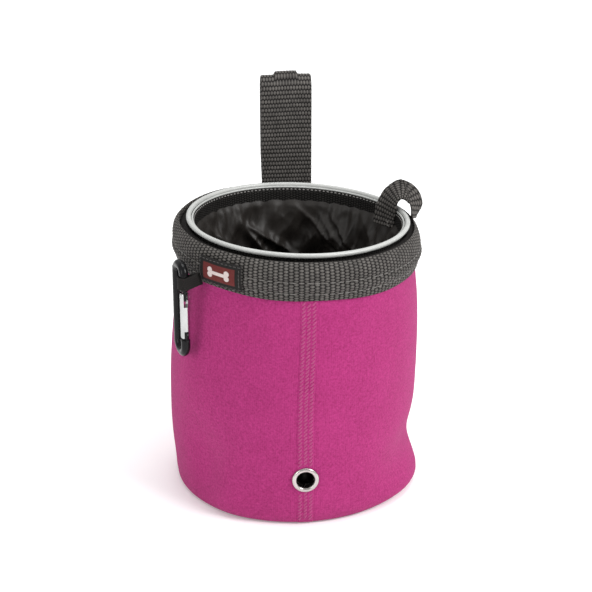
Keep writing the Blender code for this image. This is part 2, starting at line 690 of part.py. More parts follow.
make_shell(PINK)
make_base(PINK, BLACK)
clear_of_eyelet = EYELET_RADIUS + GAP + 2 * THREAD_RADIUS
make_seam("front_seam_stitching", EYELET_HEIGHT + clear_of_eyelet, COLLAR_BOTTOM - 0.001, PINK_YARN)
make_seam("front_seam_stitching_low", WALL + 0.0005, EYELET_HEIGHT - clear_of_eyelet, PINK_YARN)
make_collar(GREY)
for row, height in (("collar_stitching_lower", COLLAR_LOWER_ROW), ("collar_stitching_upper", COLLAR_UPPER_ROW)):
    level = COLLAR_BOTTOM + height
    make_row(row, collar_radius(level), level, GREY_YARN)
make_rim(STEEL, SILVER_TAPE, BLACK, GREY, GREY_YARN)
make_lining(NYLON)
make_eyelet(CHROME)
make_belt_loop(GREY, GREY_YARN)
make_pull_loop(GREY, GREY_YARN)
make_label(BLACK, RED, WHITE, GREY_YARN)
make_carabiner(GLOSS, CHROME, STEEL)
make_tab(BLACK)
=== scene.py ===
"""A dog treat pouch on a white studio floor, dressed over its CAD frame.

Metres, +Z up. The front seam faces -Y, the belt loop stands at +Y, the pull loop is at +X.
"""
import math
import bpy
import numpy as np
from mathutils import Matrix, Vector, noise


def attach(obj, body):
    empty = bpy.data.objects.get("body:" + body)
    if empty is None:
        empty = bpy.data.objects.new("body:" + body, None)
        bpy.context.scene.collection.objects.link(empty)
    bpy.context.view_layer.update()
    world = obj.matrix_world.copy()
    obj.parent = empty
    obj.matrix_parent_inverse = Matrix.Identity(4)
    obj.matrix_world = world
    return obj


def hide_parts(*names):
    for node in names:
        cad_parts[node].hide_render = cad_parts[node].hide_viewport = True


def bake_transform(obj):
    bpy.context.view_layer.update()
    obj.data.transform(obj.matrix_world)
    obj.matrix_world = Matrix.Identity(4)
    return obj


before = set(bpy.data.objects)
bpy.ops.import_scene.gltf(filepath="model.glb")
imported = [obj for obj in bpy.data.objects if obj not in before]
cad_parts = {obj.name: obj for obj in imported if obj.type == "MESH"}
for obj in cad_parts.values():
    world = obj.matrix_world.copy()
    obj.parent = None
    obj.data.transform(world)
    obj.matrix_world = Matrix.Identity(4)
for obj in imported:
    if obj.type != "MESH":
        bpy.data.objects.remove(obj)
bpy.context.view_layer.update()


# ---- Neoprene wall ----
# One sheet of 3 mm neoprene with a fine knit face on its outside, rolled into a cup and joined
# edge to edge down the front. It stands by its own stiffness, with a few soft dents near its foot.
BASE_RADIUS = 0.054
BELLY_RADIUS = 0.0537
BELLY_HEIGHT = 0.045
NECK_RADIUS = 0.0504
NECK_SLOPE = 0.175
NEOPRENE = 0.003
COLLAR_BOTTOM = 0.1015
EYELET_HEIGHT = 0.0225
SEAM_HALF = 0.0033
SEAM_RAISED = 0.00028
WALL_TOP = 0.1132
WALL_THICK = 0.0026
WALL_HOLE = 0.0048
FOOT_ROUND = 0.005
FOOT_TOP = 0.0054


def wall_radius(z):
    """Outer radius of the cup: full below, drawn in towards the collar."""
    low = BASE_RADIUS + (BELLY_RADIUS - BASE_RADIUS) * np.clip(z / BELLY_HEIGHT, 0, 1)
    share = np.clip((z - BELLY_HEIGHT) / (COLLAR_BOTTOM - BELLY_HEIGHT), 0, 1)
    return low + (NECK_RADIUS - BELLY_RADIUS) * share**2 - NECK_SLOPE * np.clip(z - COLLAR_BOTTOM, 0, 1)


def fresh(obj=None):
    """Object mode with nothing selected but obj."""
    if bpy.context.object and bpy.context.object.mode != "OBJECT":
        bpy.ops.object.mode_set(mode="OBJECT")
    bpy.ops.object.select_all(action="DESELECT")
    if obj:
        obj.select_set(True)
        bpy.context.view_layer.objects.active = obj


def cloth(name, across, along, place, span=(1.0, 1.0)):
    """A grid laid out by place(u, v). Its UV map holds u and v times span, metres on most cloth."""
    fresh()
    columns, rows = len(across) - 1, len(along) - 1
    bpy.ops.mesh.primitive_grid_add(x_subdivisions=columns, y_subdivisions=rows, size=1)
    obj = bpy.context.object
    obj.name = obj.data.name = name
    mesh = obj.data
    flat = np.empty(3 * len(mesh.vertices))
    mesh.vertices.foreach_get("co", flat)
    flat = flat.reshape(-1, 3) + 0.5
    u = np.interp(flat[:, 0], np.linspace(0, 1, len(across)), across)
    v = np.interp(flat[:, 1], np.linspace(0, 1, len(along)), along)
    mesh.vertices.foreach_set("co", np.asarray(place(u, v), float).ravel())
    corners = np.empty(len(mesh.loops), np.int32)
    mesh.loops.foreach_get("vertex_index", corners)
    uv = np.column_stack((u * span[0], v * span[1]))[corners]
    mesh.uv_layers[0].data.foreach_set("uv", uv.ravel())
    mesh.update()
    bpy.ops.object.shade_smooth()
    return obj


MEETING = 0.000002


def weld(obj):
    """Joins edges that meet and turns the faces outward."""
    fresh(obj)
    bpy.ops.object.mode_set(mode="EDIT")
    bpy.ops.mesh.select_all(action="SELECT")
    bpy.ops.mesh.remove_doubles(threshold=MEETING)
    bpy.ops.mesh.normals_make_consistent(inside=False)
    bpy.ops.object.mode_set(mode="OBJECT")


def apply(obj, kind, **settings):
    """Adds a modifier with these settings and applies it."""
    modifier = obj.modifiers.new(kind.title(), kind)
    for key, value in settings.items():
        setattr(modifier, key, value)
    fresh(obj)
    bpy.ops.object.modifier_apply(modifier=modifier.name)


def ring(angle, radius, z):
    """Points round the pouch, angles measured to the right of the front."""
    return np.stack((radius * np.sin(angle), -radius * np.cos(angle), z + 0 * angle), axis=-1)


def hump(x, centre, width):
    """A smooth bump of height 1 round the centre."""
    return np.exp(-(((x - centre) / width) ** 2))


def along_profile(points, spacing):
    """Even steps along a profile given by its corners: their shares, radii and heights, and the
    profile's length."""
    points = np.array(points, float)
    run = np.concatenate(([0], np.cumsum(np.linalg.norm(np.diff(points, axis=0), axis=1))))
    at = np.linspace(0, run[-1], max(2, int(run[-1] / spacing)) + 1)
    return at / run[-1], np.interp(at, run, points[:, 0]), np.interp(at, run, points[:, 1]), run[-1]


class Term:
    """A shader value that takes part in plain arithmetic."""

    def __init__(self, finish, socket):
        self.finish = finish
        self.socket = socket

    def do(self, operation, other=None, swap=False):
        node = self.finish.tree.nodes.new("ShaderNodeMath")
        node.operation = operation
        values = [self, other][::-1] if swap else [self, other]
        for socket, value in zip(node.inputs, values):
            if value is not None:
                self.finish.plug(socket, value)
        return Term(self.finish, node.outputs[0])

    def __add__(self, other):
        return self.do("ADD", other)

    def __sub__(self, other):
        return self.do("SUBTRACT", other)

    def __mul__(self, other):
        return self.do("MULTIPLY", other)

    def __truediv__(self, other):
        return self.do("DIVIDE", other)

    def __rsub__(self, other):
        return self.do("SUBTRACT", other, swap=True)

    __radd__ = __add__
    __rmul__ = __mul__


class Finish:
    """A Principled material and the nodes that vary it."""

    def __init__(self, name, **values):
        self.material = bpy.data.materials.new(name)
        self.material.use_nodes = True
        self.tree = self.material.node_tree
        self.shader = self.tree.nodes["Principled BSDF"]
        for key, value in values.items():
            self.shader.inputs[key.replace("_", " ")].default_value = value

    def plug(self, socket, value):
        if isinstance(value, Term):
            self.tree.links.new(value.socket, socket)
        else:
            socket.default_value = value

    def node(self, kind, settings, values, output=0):
        node = self.tree.nodes.new("ShaderNode" + kind)
        for key, value in settings.items():
            setattr(node, key, value)
        for key, value in values.items():
            self.plug(node.inputs[key], value)
        return Term(self, node.outputs[output])

    def cloud(self, scale, detail, roughness):
        """Noise from 0 to 1 with this many cells to the metre."""
        place = self.node("TexCoord", {}, {}, "Object")
        values = {"Vector": place, "Scale": scale, "Detail": detail, "Roughness": roughness}
        return self.node("TexNoise", {}, values)

    def flat(self):
        """Across and along, from the piece's own UV map, in metres."""
        uv = self.node("UVMap", {"uv_map": "UVMap"}, {})
        across = self.node("SeparateXYZ", {}, {0: uv}, 0)
        return across, Term(self, across.socket.node.outputs[1])

    def blend(self, share, first, second):
        """A colour that goes from first to second as share goes from 0 to 1."""
        first, second = ((*colour, 1) if isinstance(colour, tuple) else colour for colour in (first, second))
        factor_in, first_in, second_in, colour_out = 0, 6, 7, 2
        values = {factor_in: share, first_in: first, second_in: second}
        return self.node("Mix", {"data_type": "RGBA"}, values, colour_out)

    def ovals(self, column, row, across=None, along=None):
        """Woven relief: columns of puffy ovals, every second column half a row up."""
        if across is None:
            across, along = self.flat()
        x = across / column
        y = along / row + x.do("FLOOR").do("MODULO", 2.0).do("ABSOLUTE") * 0.5
        off_x = (x.do("FRACT") - 0.5) * 2.0
        off_y = (y.do("FRACT") - 0.5) * 2.0
        return (1.0 - off_x * off_x * 0.9 - off_y * off_y * 0.9).do("MAXIMUM", 0.0).do("SQRT")

    def paint(self, colour, roughness=None, relief=None, depth=0.0001):
        """Plugs in the colour, the roughness and a relief of this depth."""
        self.plug(self.shader.inputs["Base Color"], colour)
        if roughness is not None:
            self.plug(self.shader.inputs["Roughness"], roughness)
        if relief is not None:
            bump = self.node("Bump", {}, {"Height": relief, "Distance": depth, "Strength": 1.0})
            self.plug(self.shader.inputs["Normal"], bump)
        return self.material


def neoprene_finish():
    """Matt knit in a warm pink, a little paler where it has worn, with painted shade between the knit's
    loops.
    """
    finish = Finish("neoprene", Sheen_Weight=0.06, Sheen_Roughness=0.5, Specular_IOR_Level=0.12)
    knit = finish.ovals(0.0009, 0.0007)
    grain = (finish.cloud(1150.0, 3.0, 0.65) - 0.5) * 3.4 + 0.5
    mottle = finish.cloud(70.0, 4.0, 0.6)
    worn = finish.cloud(16.0, 3.0, 0.5)
    # The knit's loops are painted lighter on their crowns and darker between them, as shade; grain and mottle
    # vary the cloth's own tone.
    painted_shade_and_tone = knit * 0.18 + grain * 0.52 + mottle * 0.30
    low = finish.blend(worn, (0.222, 0.0135, 0.084), (0.253, 0.0165, 0.097))
    high = finish.blend(worn, (0.430, 0.038, 0.190), (0.478, 0.046, 0.215))
    relief = knit * 0.4 + grain * 0.6
    return finish.paint(finish.blend(painted_shade_and_tone, low, high), 0.86 + mottle * 0.1, relief, 0.00016)


PINK = neoprene_finish()

DENTS = [
    # degrees to the right of the front, height, spread of each, depth
    (62, 0.022, 22, 0.012, -0.0026),
    (95, 0.020, 28, 0.013, -0.0024),
    (66, 0.004, 30, 0.008, 0.0022),
    (-85, 0.002, 38, 0.018, -0.0020),
    (-50, 0.024, 12, 0.015, -0.0031),
    (-36, 0.009, 11, 0.012, 0.0016),
    (0, 0.000, 40, 0.008, -0.0014),
    (24, 0.055, 22, 0.030, 0.0008),
    (-30, 0.070, 22, 0.026, -0.0012),
    (-58, 0.062, 14, 0.022, 0.0008),
    (38, 0.086, 18, 0.014, -0.0008),
    (14, 0.036, 12, 0.020, -0.0006),
    (150, 0.030, 32, 0.020, -0.0022),
    (-145, 0.040, 28, 0.025, -0.0018),
]


def dents(angle, z):
    """Soft dents of the cup, in metres outward."""
    total = 0.00025 * np.sin(3 * angle + 0.6) * np.sin(z * 62)
    for turn, height, wide, tall, depth in DENTS:
        away = (angle - math.radians(turn) + math.pi) % math.tau - math.pi
        total = total + depth * hump(away, 0, math.radians(wide)) * hump(z, height, tall)
    return total * np.clip(1 - (z - 0.088) / 0.014, 0, 1) * np.clip(z / 0.003, 0.35, 1)


wall_profile = [(BASE_RADIUS - FOOT_ROUND * (1 - math.sin(t)), FOOT_ROUND * (1 - math.cos(t)))
                for t in np.linspace(0.35, math.pi / 2, 8)]
wall_profile += [(float(wall_radius(z)), z) for z in np.linspace(FOOT_TOP, WALL_TOP, 60)]
wall_share, wall_r, wall_z, wall_length = along_profile(wall_profile, 0.00125)


def seam_lift(angle, radius):
    """The two edges of the sheet meet in a slightly raised flat band."""
    x = np.abs(angle) * radius
    band = 0.5 - 0.5 * np.tanh((x - SEAM_HALF) / 0.0002)
    groove = hump(x, SEAM_HALF + 0.00025, 0.0004) * 0.00016
    return SEAM_RAISED * band - groove - 0.00012 * hump(x, 0, 0.0003)


def wall_place(u, v):
    """A point of the sheet: u is the turn from the front, v the share of its height."""
    radius = np.interp(v, wall_share, wall_r)
    z = np.interp(v, wall_share, wall_z)
    return ring(u, radius + dents(u, z) + seam_lift(u, radius), z)


# The columns crowd together towards the front, where the seam needs them.
wall_turns = math.tau * np.linspace(-0.5, 0.5, 421)
wall_turns -= 0.62 * np.sin(wall_turns)
wall = cloth("neoprene_wall", wall_turns, wall_share, wall_place, (BELLY_RADIUS, wall_length))
weld(wall)


def open_hole(obj, centre, radius):
    """Takes out the faces round a point, before the sheet is given its thickness."""
    fresh(obj)
    bpy.ops.object.mode_set(mode="EDIT")
    bpy.ops.mesh.select_mode(type="FACE")
    bpy.ops.mesh.select_all(action="DESELECT")
    bpy.ops.object.mode_set(mode="OBJECT")
    for face in obj.data.polygons:
        face.select = (Vector(face.center) - Vector(centre)).length < radius
    bpy.ops.object.mode_set(mode="EDIT")
    bpy.ops.mesh.delete(type="FACE")
    bpy.ops.object.mode_set(mode="OBJECT")


LEAN = 0.0016
TIP = 0.040
MOUTH_WIDER = 0.027
MOUTH_PULL = 0.0016
MOUTH_EDGE = 0.0502
PULL_SIDE = math.radians(97)
PULL_SPREAD = math.radians(34)


def settled(points):
    """The soft cup leans a little to the right at its top, tips to that side, and its mouth is
    pulled slightly oval, most beside the pull loop."""
    x, y, z = points.T
    share = np.clip((z - BELLY_HEIGHT) / 0.055, 0, 1)
    share = share * share * (3 - 2 * share)
    radius = np.hypot(x, y)
    angle = np.arctan2(x, -y)
    inner = np.clip((MOUTH_EDGE - radius) / 0.0035, 0, 1) * np.clip((z - 0.095) / 0.02, 0, 1)
    pull = MOUTH_PULL * hump(angle, PULL_SIDE, PULL_SPREAD)
    moved = x + LEAN * share + inner * (MOUTH_WIDER * x + pull * np.sin(angle))
    return np.stack((moved, y - inner * pull * np.cos(angle), z - TIP * x * share), axis=1)


def settle(obj):
    """Moves a piece's points as the cup leans."""
    co = np.empty(3 * len(obj.data.vertices))
    obj.data.vertices.foreach_get("co", co)
    obj.data.vertices.foreach_set("co", settled(co.reshape(-1, 3)).ravel())
    obj.data.update()


open_hole(wall, (0, -BASE_RADIUS, EYELET_HEIGHT), WALL_HOLE)
apply(wall, "SOLIDIFY", thickness=WALL_THICK, offset=-1)
settle(wall)
wall.data.materials.clear()
wall.data.materials.append(PINK)
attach(wall, "pouch")
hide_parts("outer_shell")

# ---- Base and its binding ----
# A round panel of the same neoprene, sewn into the foot of the wall with a bound seam inside.
CLEARANCE = 0.0003
BASE_INNER = BASE_RADIUS - NEOPRENE - CLEARANCE
BASE_UNDER = 0.0001
BASE_EDGE = 0.0008


def turned(name, profile, steps, spacing):
    """A closed (radius, height) outline turned round Z, its points this far apart."""
    share, radius, z, length = along_profile(profile + [profile[0]], spacing)
    reach = max(p[0] for p in profile)

    def place(u, v):
        return ring(u, np.interp(v, share, radius), np.interp(v, share, z))

    obj = cloth(name, np.linspace(-math.pi, math.pi, steps + 1), share, place, (reach, length))
    weld(obj)
    return obj


base = turned("neoprene_base", [
    (0.0, BASE_UNDER), (BASE_INNER - BASE_EDGE, BASE_UNDER), (BASE_INNER, BASE_UNDER + BASE_EDGE),
    (BASE_INNER, NEOPRENE), (0.0, NEOPRENE)], steps=96, spacing=0.003)
base.data.materials.append(PINK)
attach(base, "pouch")
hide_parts("base_panel")


def tape_finish():
    """Fine black woven tape with a little dust in it, and painted shade between its ribs."""
    finish = Finish("black_tape", Specular_IOR_Level=0.15)
    rib = finish.ovals(0.0009, 0.0006)
    dust = finish.cloud(260.0, 4.0, 0.6)
    # The ribs are painted lighter on their crowns and darker in their gaps, as shade; the dust is the tape's
    # own.
    colour = finish.blend(rib * 0.7 + dust * 0.3, (0.004, 0.0036, 0.0034), (0.020, 0.018, 0.017))
    return finish.paint(colour, 0.65 + dust * 0.25, rib, 0.00012)


TAPE = tape_finish()
BINDING_LOW = NEOPRENE + CLEARANCE
BINDING_TOP = BINDING_LOW + 0.0047
BINDING_REACH = BASE_INNER - 0.0042
BINDING_THICK = 0.0006
base_binding = turned("base_seam_tape", [
    (BINDING_REACH, BINDING_LOW), (BASE_INNER, BINDING_LOW), (BASE_INNER, BINDING_TOP),
    (BASE_INNER - BINDING_THICK, BINDING_TOP), (BASE_INNER - 0.0008, BINDING_LOW + 0.0008),
    (BINDING_REACH, BINDING_LOW + BINDING_THICK)], steps=96, spacing=0.001)
base_binding.data.materials.append(TAPE)
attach(base_binding, "pouch")
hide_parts("base_seam_binding")

# ---- Front seam stitching ----
# Flatlock stitching in pink polyester yarn: three columns of short slanted stitches down the
# raised band, broken only by the eyelet.
YARN_FLAT = 0.8


def yarn_finish(name, dark, light):
    """Polyester yarn, painted lighter on the crown of each fibre as highlight and darker between fibres as
    shade.
    """
    finish = Finish(name, Specular_IOR_Level=0.35, Sheen_Weight=0.3)
    fibre = finish.cloud(3800.0, 4.0, 0.7)
    patch = finish.cloud(300.0, 3.0, 0.5)
    # The fibre noise that raises the relief also lightens the colour there, as painted highlight; the patch
    # noise is the yarn's own tone.
    colour = finish.blend(fibre * 0.65 + patch * 0.35, dark, light)
    return finish.paint(colour, 0.55 + fibre * 0.3, fibre, 0.0001)


def way_round(angle):
    """The way round the pouch, to the right."""
    return (math.cos(angle), math.sin(angle), 0)


def way_out(angle):
    """The way straight out of the pouch."""
    return (math.sin(angle), -math.cos(angle), 0)


def way_in(angle):
    return (-math.sin(angle), math.cos(angle), 0)


def stitches(name, places, length, thick, material):
    """One short yarn per place. A place is its middle, the way it runs and the way out of the
    cloth."""
    fresh()
    bpy.ops.mesh.primitive_uv_sphere_add(segments=8, ring_count=6, radius=1)
    seed = bpy.context.object
    bpy.ops.object.shade_smooth()
    made = []
    for middle, run, out in places:
        run = Vector(run).normalized()
        out = Vector(out).normalized()
        side = out.cross(run).normalized()
        out = run.cross(side)
        turn = Matrix((side * thick, run * length / 2, out * thick * YARN_FLAT)).transposed().to_4x4()
        copy = bpy.data.objects.new(name, seed.data.copy())
        copy.matrix_world = Matrix.Translation(middle) @ turn
        bpy.context.scene.collection.objects.link(copy)
        made.append(copy)
    bpy.data.objects.remove(seed, do_unlink=True)
    fresh()
    for obj in made:
        obj.select_set(True)
    bpy.context.view_layer.objects.active = made[0]
    bpy.ops.object.join()
    bpy.ops.object.transform_apply(location=True, rotation=True, scale=True)
    made[0].name = made[0].data.name = name
    made[0].data.materials.clear()
    made[0].data.materials.append(material)
    return made[0]


PINK_YARN = yarn_finish("pink_yarn", (0.16, 0.008, 0.058), (0.56, 0.075, 0.265))
SEAM_PITCH = 0.00165
SEAM_COLUMN = 0.0022
SEAM_SLANT = (0.85, 0, 1.0)


def seam_places(low, high):
    """Three columns of slanted stitches, the middle one half a pitch up."""
    places = []
    for column, offset in ((-SEAM_COLUMN, 0.0), (0.0, 0.5), (SEAM_COLUMN, 0.0)):
        for z in np.arange(low + SEAM_PITCH * (0.5 + offset), high - 0.0005, SEAM_PITCH):
            angle = column / BELLY_RADIUS
            radius = float(wall_radius(z) + dents(angle, z)) + 0.00030
            places.append((ring(np.array(angle), radius, z).tolist(), SEAM_SLANT, way_out(angle)))
    return places


for name, low, high in (("front_seam_stitching", EYELET_HEIGHT + 0.0062, COLLAR_BOTTOM),
                        ("front_seam_stitching_low", 0.0028, EYELET_HEIGHT - 0.0060)):
    seam = stitches(name + "_yarn", seam_places(low, high), length=0.0022, thick=0.00036, material=PINK_YARN)
    settle(seam)
    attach(seam, "pouch")
    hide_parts(name)

# ---- Webbing collar ----
# A coarse, soft polypropylene webbing sewn round the top over the neoprene. It is puffy, its
# weave is columns of fat ovals, and it rolls in to meet the piping.
COLLAR_TOP = 0.118
COLLAR_HEIGHT = COLLAR_TOP - COLLAR_BOTTOM
COLLAR_MIDDLE = 0.0526
COLLAR_INNER = 0.0484
COLLAR_FULLEST = 0.45
COLLAR_COLUMNS = 158
COLLAR_PITCH = math.tau * COLLAR_MIDDLE / COLLAR_COLUMNS
COLLAR_ROW = 0.00127
WEAVE_RAISED = 0.00034
ROW_HEIGHTS = (0.105, 0.110)
ROW_SUNK = 0.00042


def collar_radius(z):
    """Outer radius of the collar: it swells below its middle and rolls in on top."""
    share = np.clip((z - COLLAR_BOTTOM) / COLLAR_HEIGHT, 0, 1)
    edge = NECK_RADIUS + 0.0006
    swell = np.sin(np.clip(share / COLLAR_FULLEST, 0, 1) * math.pi / 2)
    low = edge + (COLLAR_MIDDLE - edge) * swell
    roll = np.sqrt(1 - np.clip((share - COLLAR_FULLEST) / (1 - COLLAR_FULLEST), 0, 1) ** 2.4)
    high = COLLAR_INNER + (COLLAR_MIDDLE - COLLAR_INNER) * roll
    return np.where(share < COLLAR_FULLEST, low, high)


def woven(across, along, column, row):
    """The same oval relief as the finish, for the mesh."""
    x = across / column
    y = along / row + np.floor(x) % 2 * 0.5
    off_x = (x % 1 - 0.5) * 2
    off_y = (y % 1 - 0.5) * 2
    return np.sqrt(np.clip(1 - 0.9 * off_x**2 - 0.9 * off_y**2, 0, 1))


def webbing_finish(name, column, row, dark, light, shine=0.22, rows_first=False):
    """Columns of ovals, or straight rows of dashes when rows_first is set."""
    finish = Finish(name, Specular_IOR_Level=shine)
    across, along = finish.flat()
    if rows_first:
        lump = finish.ovals(row, column, along, across)
    else:
        lump = finish.ovals(column, row, across, along)
    fibre = finish.cloud(2600.0, 4.0, 0.7)
    patch = finish.cloud(240.0, 3.0, 0.6)
    # The ovals are painted light on their crowns and dark in their gaps, as highlight and shade; the fibre
    # and patch noise are the webbing's own tone.
    painted_shade_and_tone = lump * (0.35 + lump * 0.65) * (0.45 + fibre * 0.5) * (0.35 + patch * 1.3)
    return finish.paint(finish.blend(painted_shade_and_tone, dark, light), 0.72 - lump * 0.2 + fibre * 0.15,
                        lump * 0.8 + fibre * 0.2, 0.0004)


WEBBING = webbing_finish("collar_webbing_weave", COLLAR_PITCH, COLLAR_ROW,
                         (0.0055, 0.005, 0.0047), (0.150, 0.139, 0.128))
collar_heights = np.linspace(COLLAR_BOTTOM, COLLAR_TOP - 0.0002, 40)
collar_profile = [(NECK_RADIUS + 0.0001, COLLAR_BOTTOM + 0.0006)]
collar_profile += [(float(collar_radius(z)), float(z)) for z in collar_heights]
collar_profile += [(COLLAR_INNER, 0.1160), (0.0488, 0.1130)]
collar_profile += [collar_profile[0]]
collar_share, collar_r, collar_z, collar_length = along_profile(collar_profile, 0.00031)


def collar_place(u, v):
    """A point of the collar, with its weave raised and its stitched rows sunk on the outside."""
    radius = np.interp(v, collar_share, collar_r)
    z = np.interp(v, collar_share, collar_z)
    outer = radius > NECK_RADIUS + 0.0003
    shown = np.clip((v - collar_share[2]) / 0.03, 0, 1) * (outer | (z > COLLAR_TOP - 0.004))
    lift = WEAVE_RAISED * woven(u * COLLAR_MIDDLE, v * collar_length, COLLAR_PITCH, COLLAR_ROW)
    for height in ROW_HEIGHTS:
        lift = lift - ROW_SUNK * hump(z, height, 0.0009)
    lift = lift + 0.0003 * hump(z, 0.1075, 0.0016) + 0.0002 * np.sin(u * 9 + 1.3) * np.sin(z * 420)
    return ring(u, radius + lift * shown, z + 0.00025 * np.sin(u * 7 + 0.5) * (z < 0.104))


collar_turns = np.linspace(-math.pi, math.pi, COLLAR_COLUMNS * 5 + 1)
collar = cloth("collar_webbing_band", collar_turns, collar_share, collar_place,
               (COLLAR_MIDDLE, collar_length))
weld(collar)
settle(collar)
collar.data.materials.append(WEBBING)
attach(collar, "pouch")
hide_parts("collar_webbing")

# ---- Collar stitching ----
# Two rows of grey lockstitches that hold the collar down on the neoprene.
GREY_YARN = yarn_finish("grey_yarn", (0.030, 0.028, 0.026), (0.22, 0.205, 0.19))
for name, height in zip(("collar_stitching_lower", "collar_stitching_upper"), ROW_HEIGHTS):
    row_radius = float(collar_radius(height)) + 0.00002
    places = [(ring(angle, row_radius, height).tolist(), way_round(angle), way_out(angle))
              for angle in np.linspace(0, math.tau, 104, endpoint=False)]
    row = stitches(name + "_yarn", places, length=0.0025, thick=0.00026, material=GREY_YARN)
    settle(row)
    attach(row, "pouch")
    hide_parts(name)

# ---- Piping and its binding ----
# A reflective coated cord round the mouth, with the lip of its own tape showing on the inside,
# and a narrow black binding in the groove between cord and collar, its black partly painted
# shadow of that gap.
PIPING_Z = 0.1186
RIM_RADIUS = 0.0445
CORD_THICK = 0.00105
LIP_THICK = 0.00045
GROOVE_FLOOR = 0.1140
GROOVE_INNER, GROOVE_OUTER = 0.0446, 0.0486


def piping_finish():
    """A grey glass-bead coating, smeared here and there, over the cord's fine ribs."""
    finish = Finish("reflective_piping", Specular_IOR_Level=0.6, Coat_Weight=0.25, Coat_Roughness=0.3)
    across, _ = finish.flat()
    bead = finish.cloud(2400.0, 2.0, 0.6)
    smear = finish.cloud(90.0, 4.0, 0.6)
    rib = (across * (math.tau / 0.0011)).do("SINE") * 0.5 + 0.5
    colour = finish.blend(bead * 0.4 + smear * 0.6, (0.27, 0.275, 0.265), (0.60, 0.61, 0.59))
    return finish.paint(colour, 0.28 + smear * 0.25, bead * 0.5 + rib * 0.3, 0.00006)


PIPING = piping_finish()


def round_section(radius, z, thick, count):
    """The outline of a round cord or wire that runs round the mouth."""
    return [(radius + thick * math.cos(t), z + thick * math.sin(t))
            for t in np.linspace(0, math.tau, count, endpoint=False)]


cord_section = round_section(RIM_RADIUS, PIPING_Z, CORD_THICK, 20)
piping = turned("reflective_cord", cord_section, steps=288, spacing=0.0004)
lip_section = round_section(RIM_RADIUS - CORD_THICK - LIP_THICK, PIPING_Z - 0.0006, LIP_THICK, 12)
piping_lip = turned("piping_lip", lip_section, steps=288, spacing=0.0004)
for piece in (piping, piping_lip):
    settle(piece)
    piece.data.materials.append(PIPING)
    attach(piece, "pouch")
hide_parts("rim_piping")
# The groove binding is black, and its black is partly painted shadow of the gap between cord and collar.
groove = turned("groove_binding_and_shadow", [
    (GROOVE_INNER, GROOVE_FLOOR), (GROOVE_OUTER, GROOVE_FLOOR), (GROOVE_OUTER, GROOVE_FLOOR + 0.0016),
    (0.0470, 0.1162), (0.0455, 0.1164), (GROOVE_INNER, 0.1162)], steps=240, spacing=0.0005)
settle(groove)
groove.data.materials.append(TAPE)
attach(groove, "pouch")
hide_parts("piping_binding")

# ---- Rim hoop ----
# A spring steel hoop sewn in behind the facing, closed on itself, with its steel left bare. It
# holds the mouth open.


def metal_finish(name, dark, light, rough, scratches=900.0):
    """Bare or plated metal with fine scuffs under a thin film of handling."""
    finish = Finish(name, Metallic=1.0)
    scuff = finish.cloud(scratches, 5.0, 0.65)
    film = finish.cloud(130.0, 3.0, 0.5)
    colour = finish.blend(scuff * 0.4 + film * 0.6, dark, light)
    return finish.paint(colour, rough + scuff * 0.18, scuff, 0.00001)


STEEL = metal_finish("spring_steel", (0.30, 0.30, 0.30), (0.55, 0.55, 0.55), 0.3)
hoop_section = round_section(radius=0.0444, z=0.1125, thick=0.0006, count=10)
hoop = turned("spring_hoop", hoop_section, steps=144, spacing=0.0004)
settle(hoop)
hoop.data.materials.append(STEEL)
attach(hoop, "pouch")
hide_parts("rim_hoop")

# ---- Inner facing ----
# A narrow woven band inside the mouth that covers the hoop and holds the lining, with one row of
# light stitches under the piping.
FACING_FOOT = 0.1115
FACING_FACE = 0.0420
FACING_STITCHES = 150
FACING = webbing_finish("facing_weave", 0.0013, 0.0011, (0.003, 0.0027, 0.0025), (0.026, 0.024, 0.022), 0.15)
facing = turned("facing_band", [
    (0.0434, 0.1178), (0.0426, 0.1176), (0.0421, 0.1160), (FACING_FACE, FACING_FOOT),
    (0.0432, FACING_FOOT)], steps=360, spacing=0.0004)
settle(facing)
facing.data.materials.append(FACING)
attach(facing, "pouch")
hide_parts("inner_facing")
places = [(ring(angle, FACING_FACE + 0.0004, 0.1171).tolist(), way_round(angle), way_in(angle))
          for angle in np.linspace(0, math.tau, FACING_STITCHES, endpoint=False)]
LIGHT_YARN = yarn_finish("light_yarn", (0.07, 0.067, 0.063), (0.34, 0.325, 0.31))
facing_row = stitches("inner_facing_yarn", places, length=0.0011, thick=0.00030, material=LIGHT_YARN)
settle(facing_row)
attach(facing_row, "pouch")
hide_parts("inner_facing_stitching")

# ---- Lining bag ----
# A thin black nylon bag, longer and wider than the cup, gathered under the facing. It falls in
# diagonal creases and bunches on the base.
NYLON_THICK = 0.00035


def nylon_finish():
    """Thin black nylon with a soft gloss, its cloth finely crumpled."""
    finish = Finish("black_nylon", Specular_IOR_Level=0.36)
    weave = finish.ovals(0.0005, 0.00045)
    haze = finish.cloud(120.0, 5.0, 0.6)
    ripple = finish.cloud(210.0, 3.0, 0.55)
    # The fine weave is painted darker between its threads, as shade.
    colour = finish.blend(haze * 0.6 + weave * 0.4, (0.0065, 0.0052, 0.0045), (0.024, 0.020, 0.017))
    return finish.paint(colour, 0.45 + haze * 0.14, weave * 0.03 + ripple * 0.5, 0.0003)


NYLON = nylon_finish()
lining_profile = [(0.0424, 0.1135), (0.0420, 0.1110), (0.0426, 0.1040), (0.0444, 0.0920), (0.0462, 0.0700),
                  (0.0464, 0.0300), (0.0460, 0.0140), (0.0425, 0.0062), (0.0300, 0.0052), (0.0004, 0.0050)]
lining_share, lining_r, lining_z, lining_length = along_profile(lining_profile, 0.0009)


FINE_FOLDS = 0.45


def crease(angle, z, twist, wide, tall, seed):
    """Ridged noise drawn out along a slant, so that it makes long diagonal folds."""
    folds = np.empty_like(angle)
    slanted = angle + twist * z
    for i, (a, b, c) in enumerate(zip(wide * np.cos(slanted), wide * np.sin(slanted), tall * z)):
        coarse = noise.noise(Vector((a + seed, b, c)))
        fine = noise.noise(Vector((2 * a, 2 * b + seed, 2 * c)))
        folds[i] = 1 - abs(coarse + FINE_FOLDS * fine)
    return np.clip(folds, 0, 1)


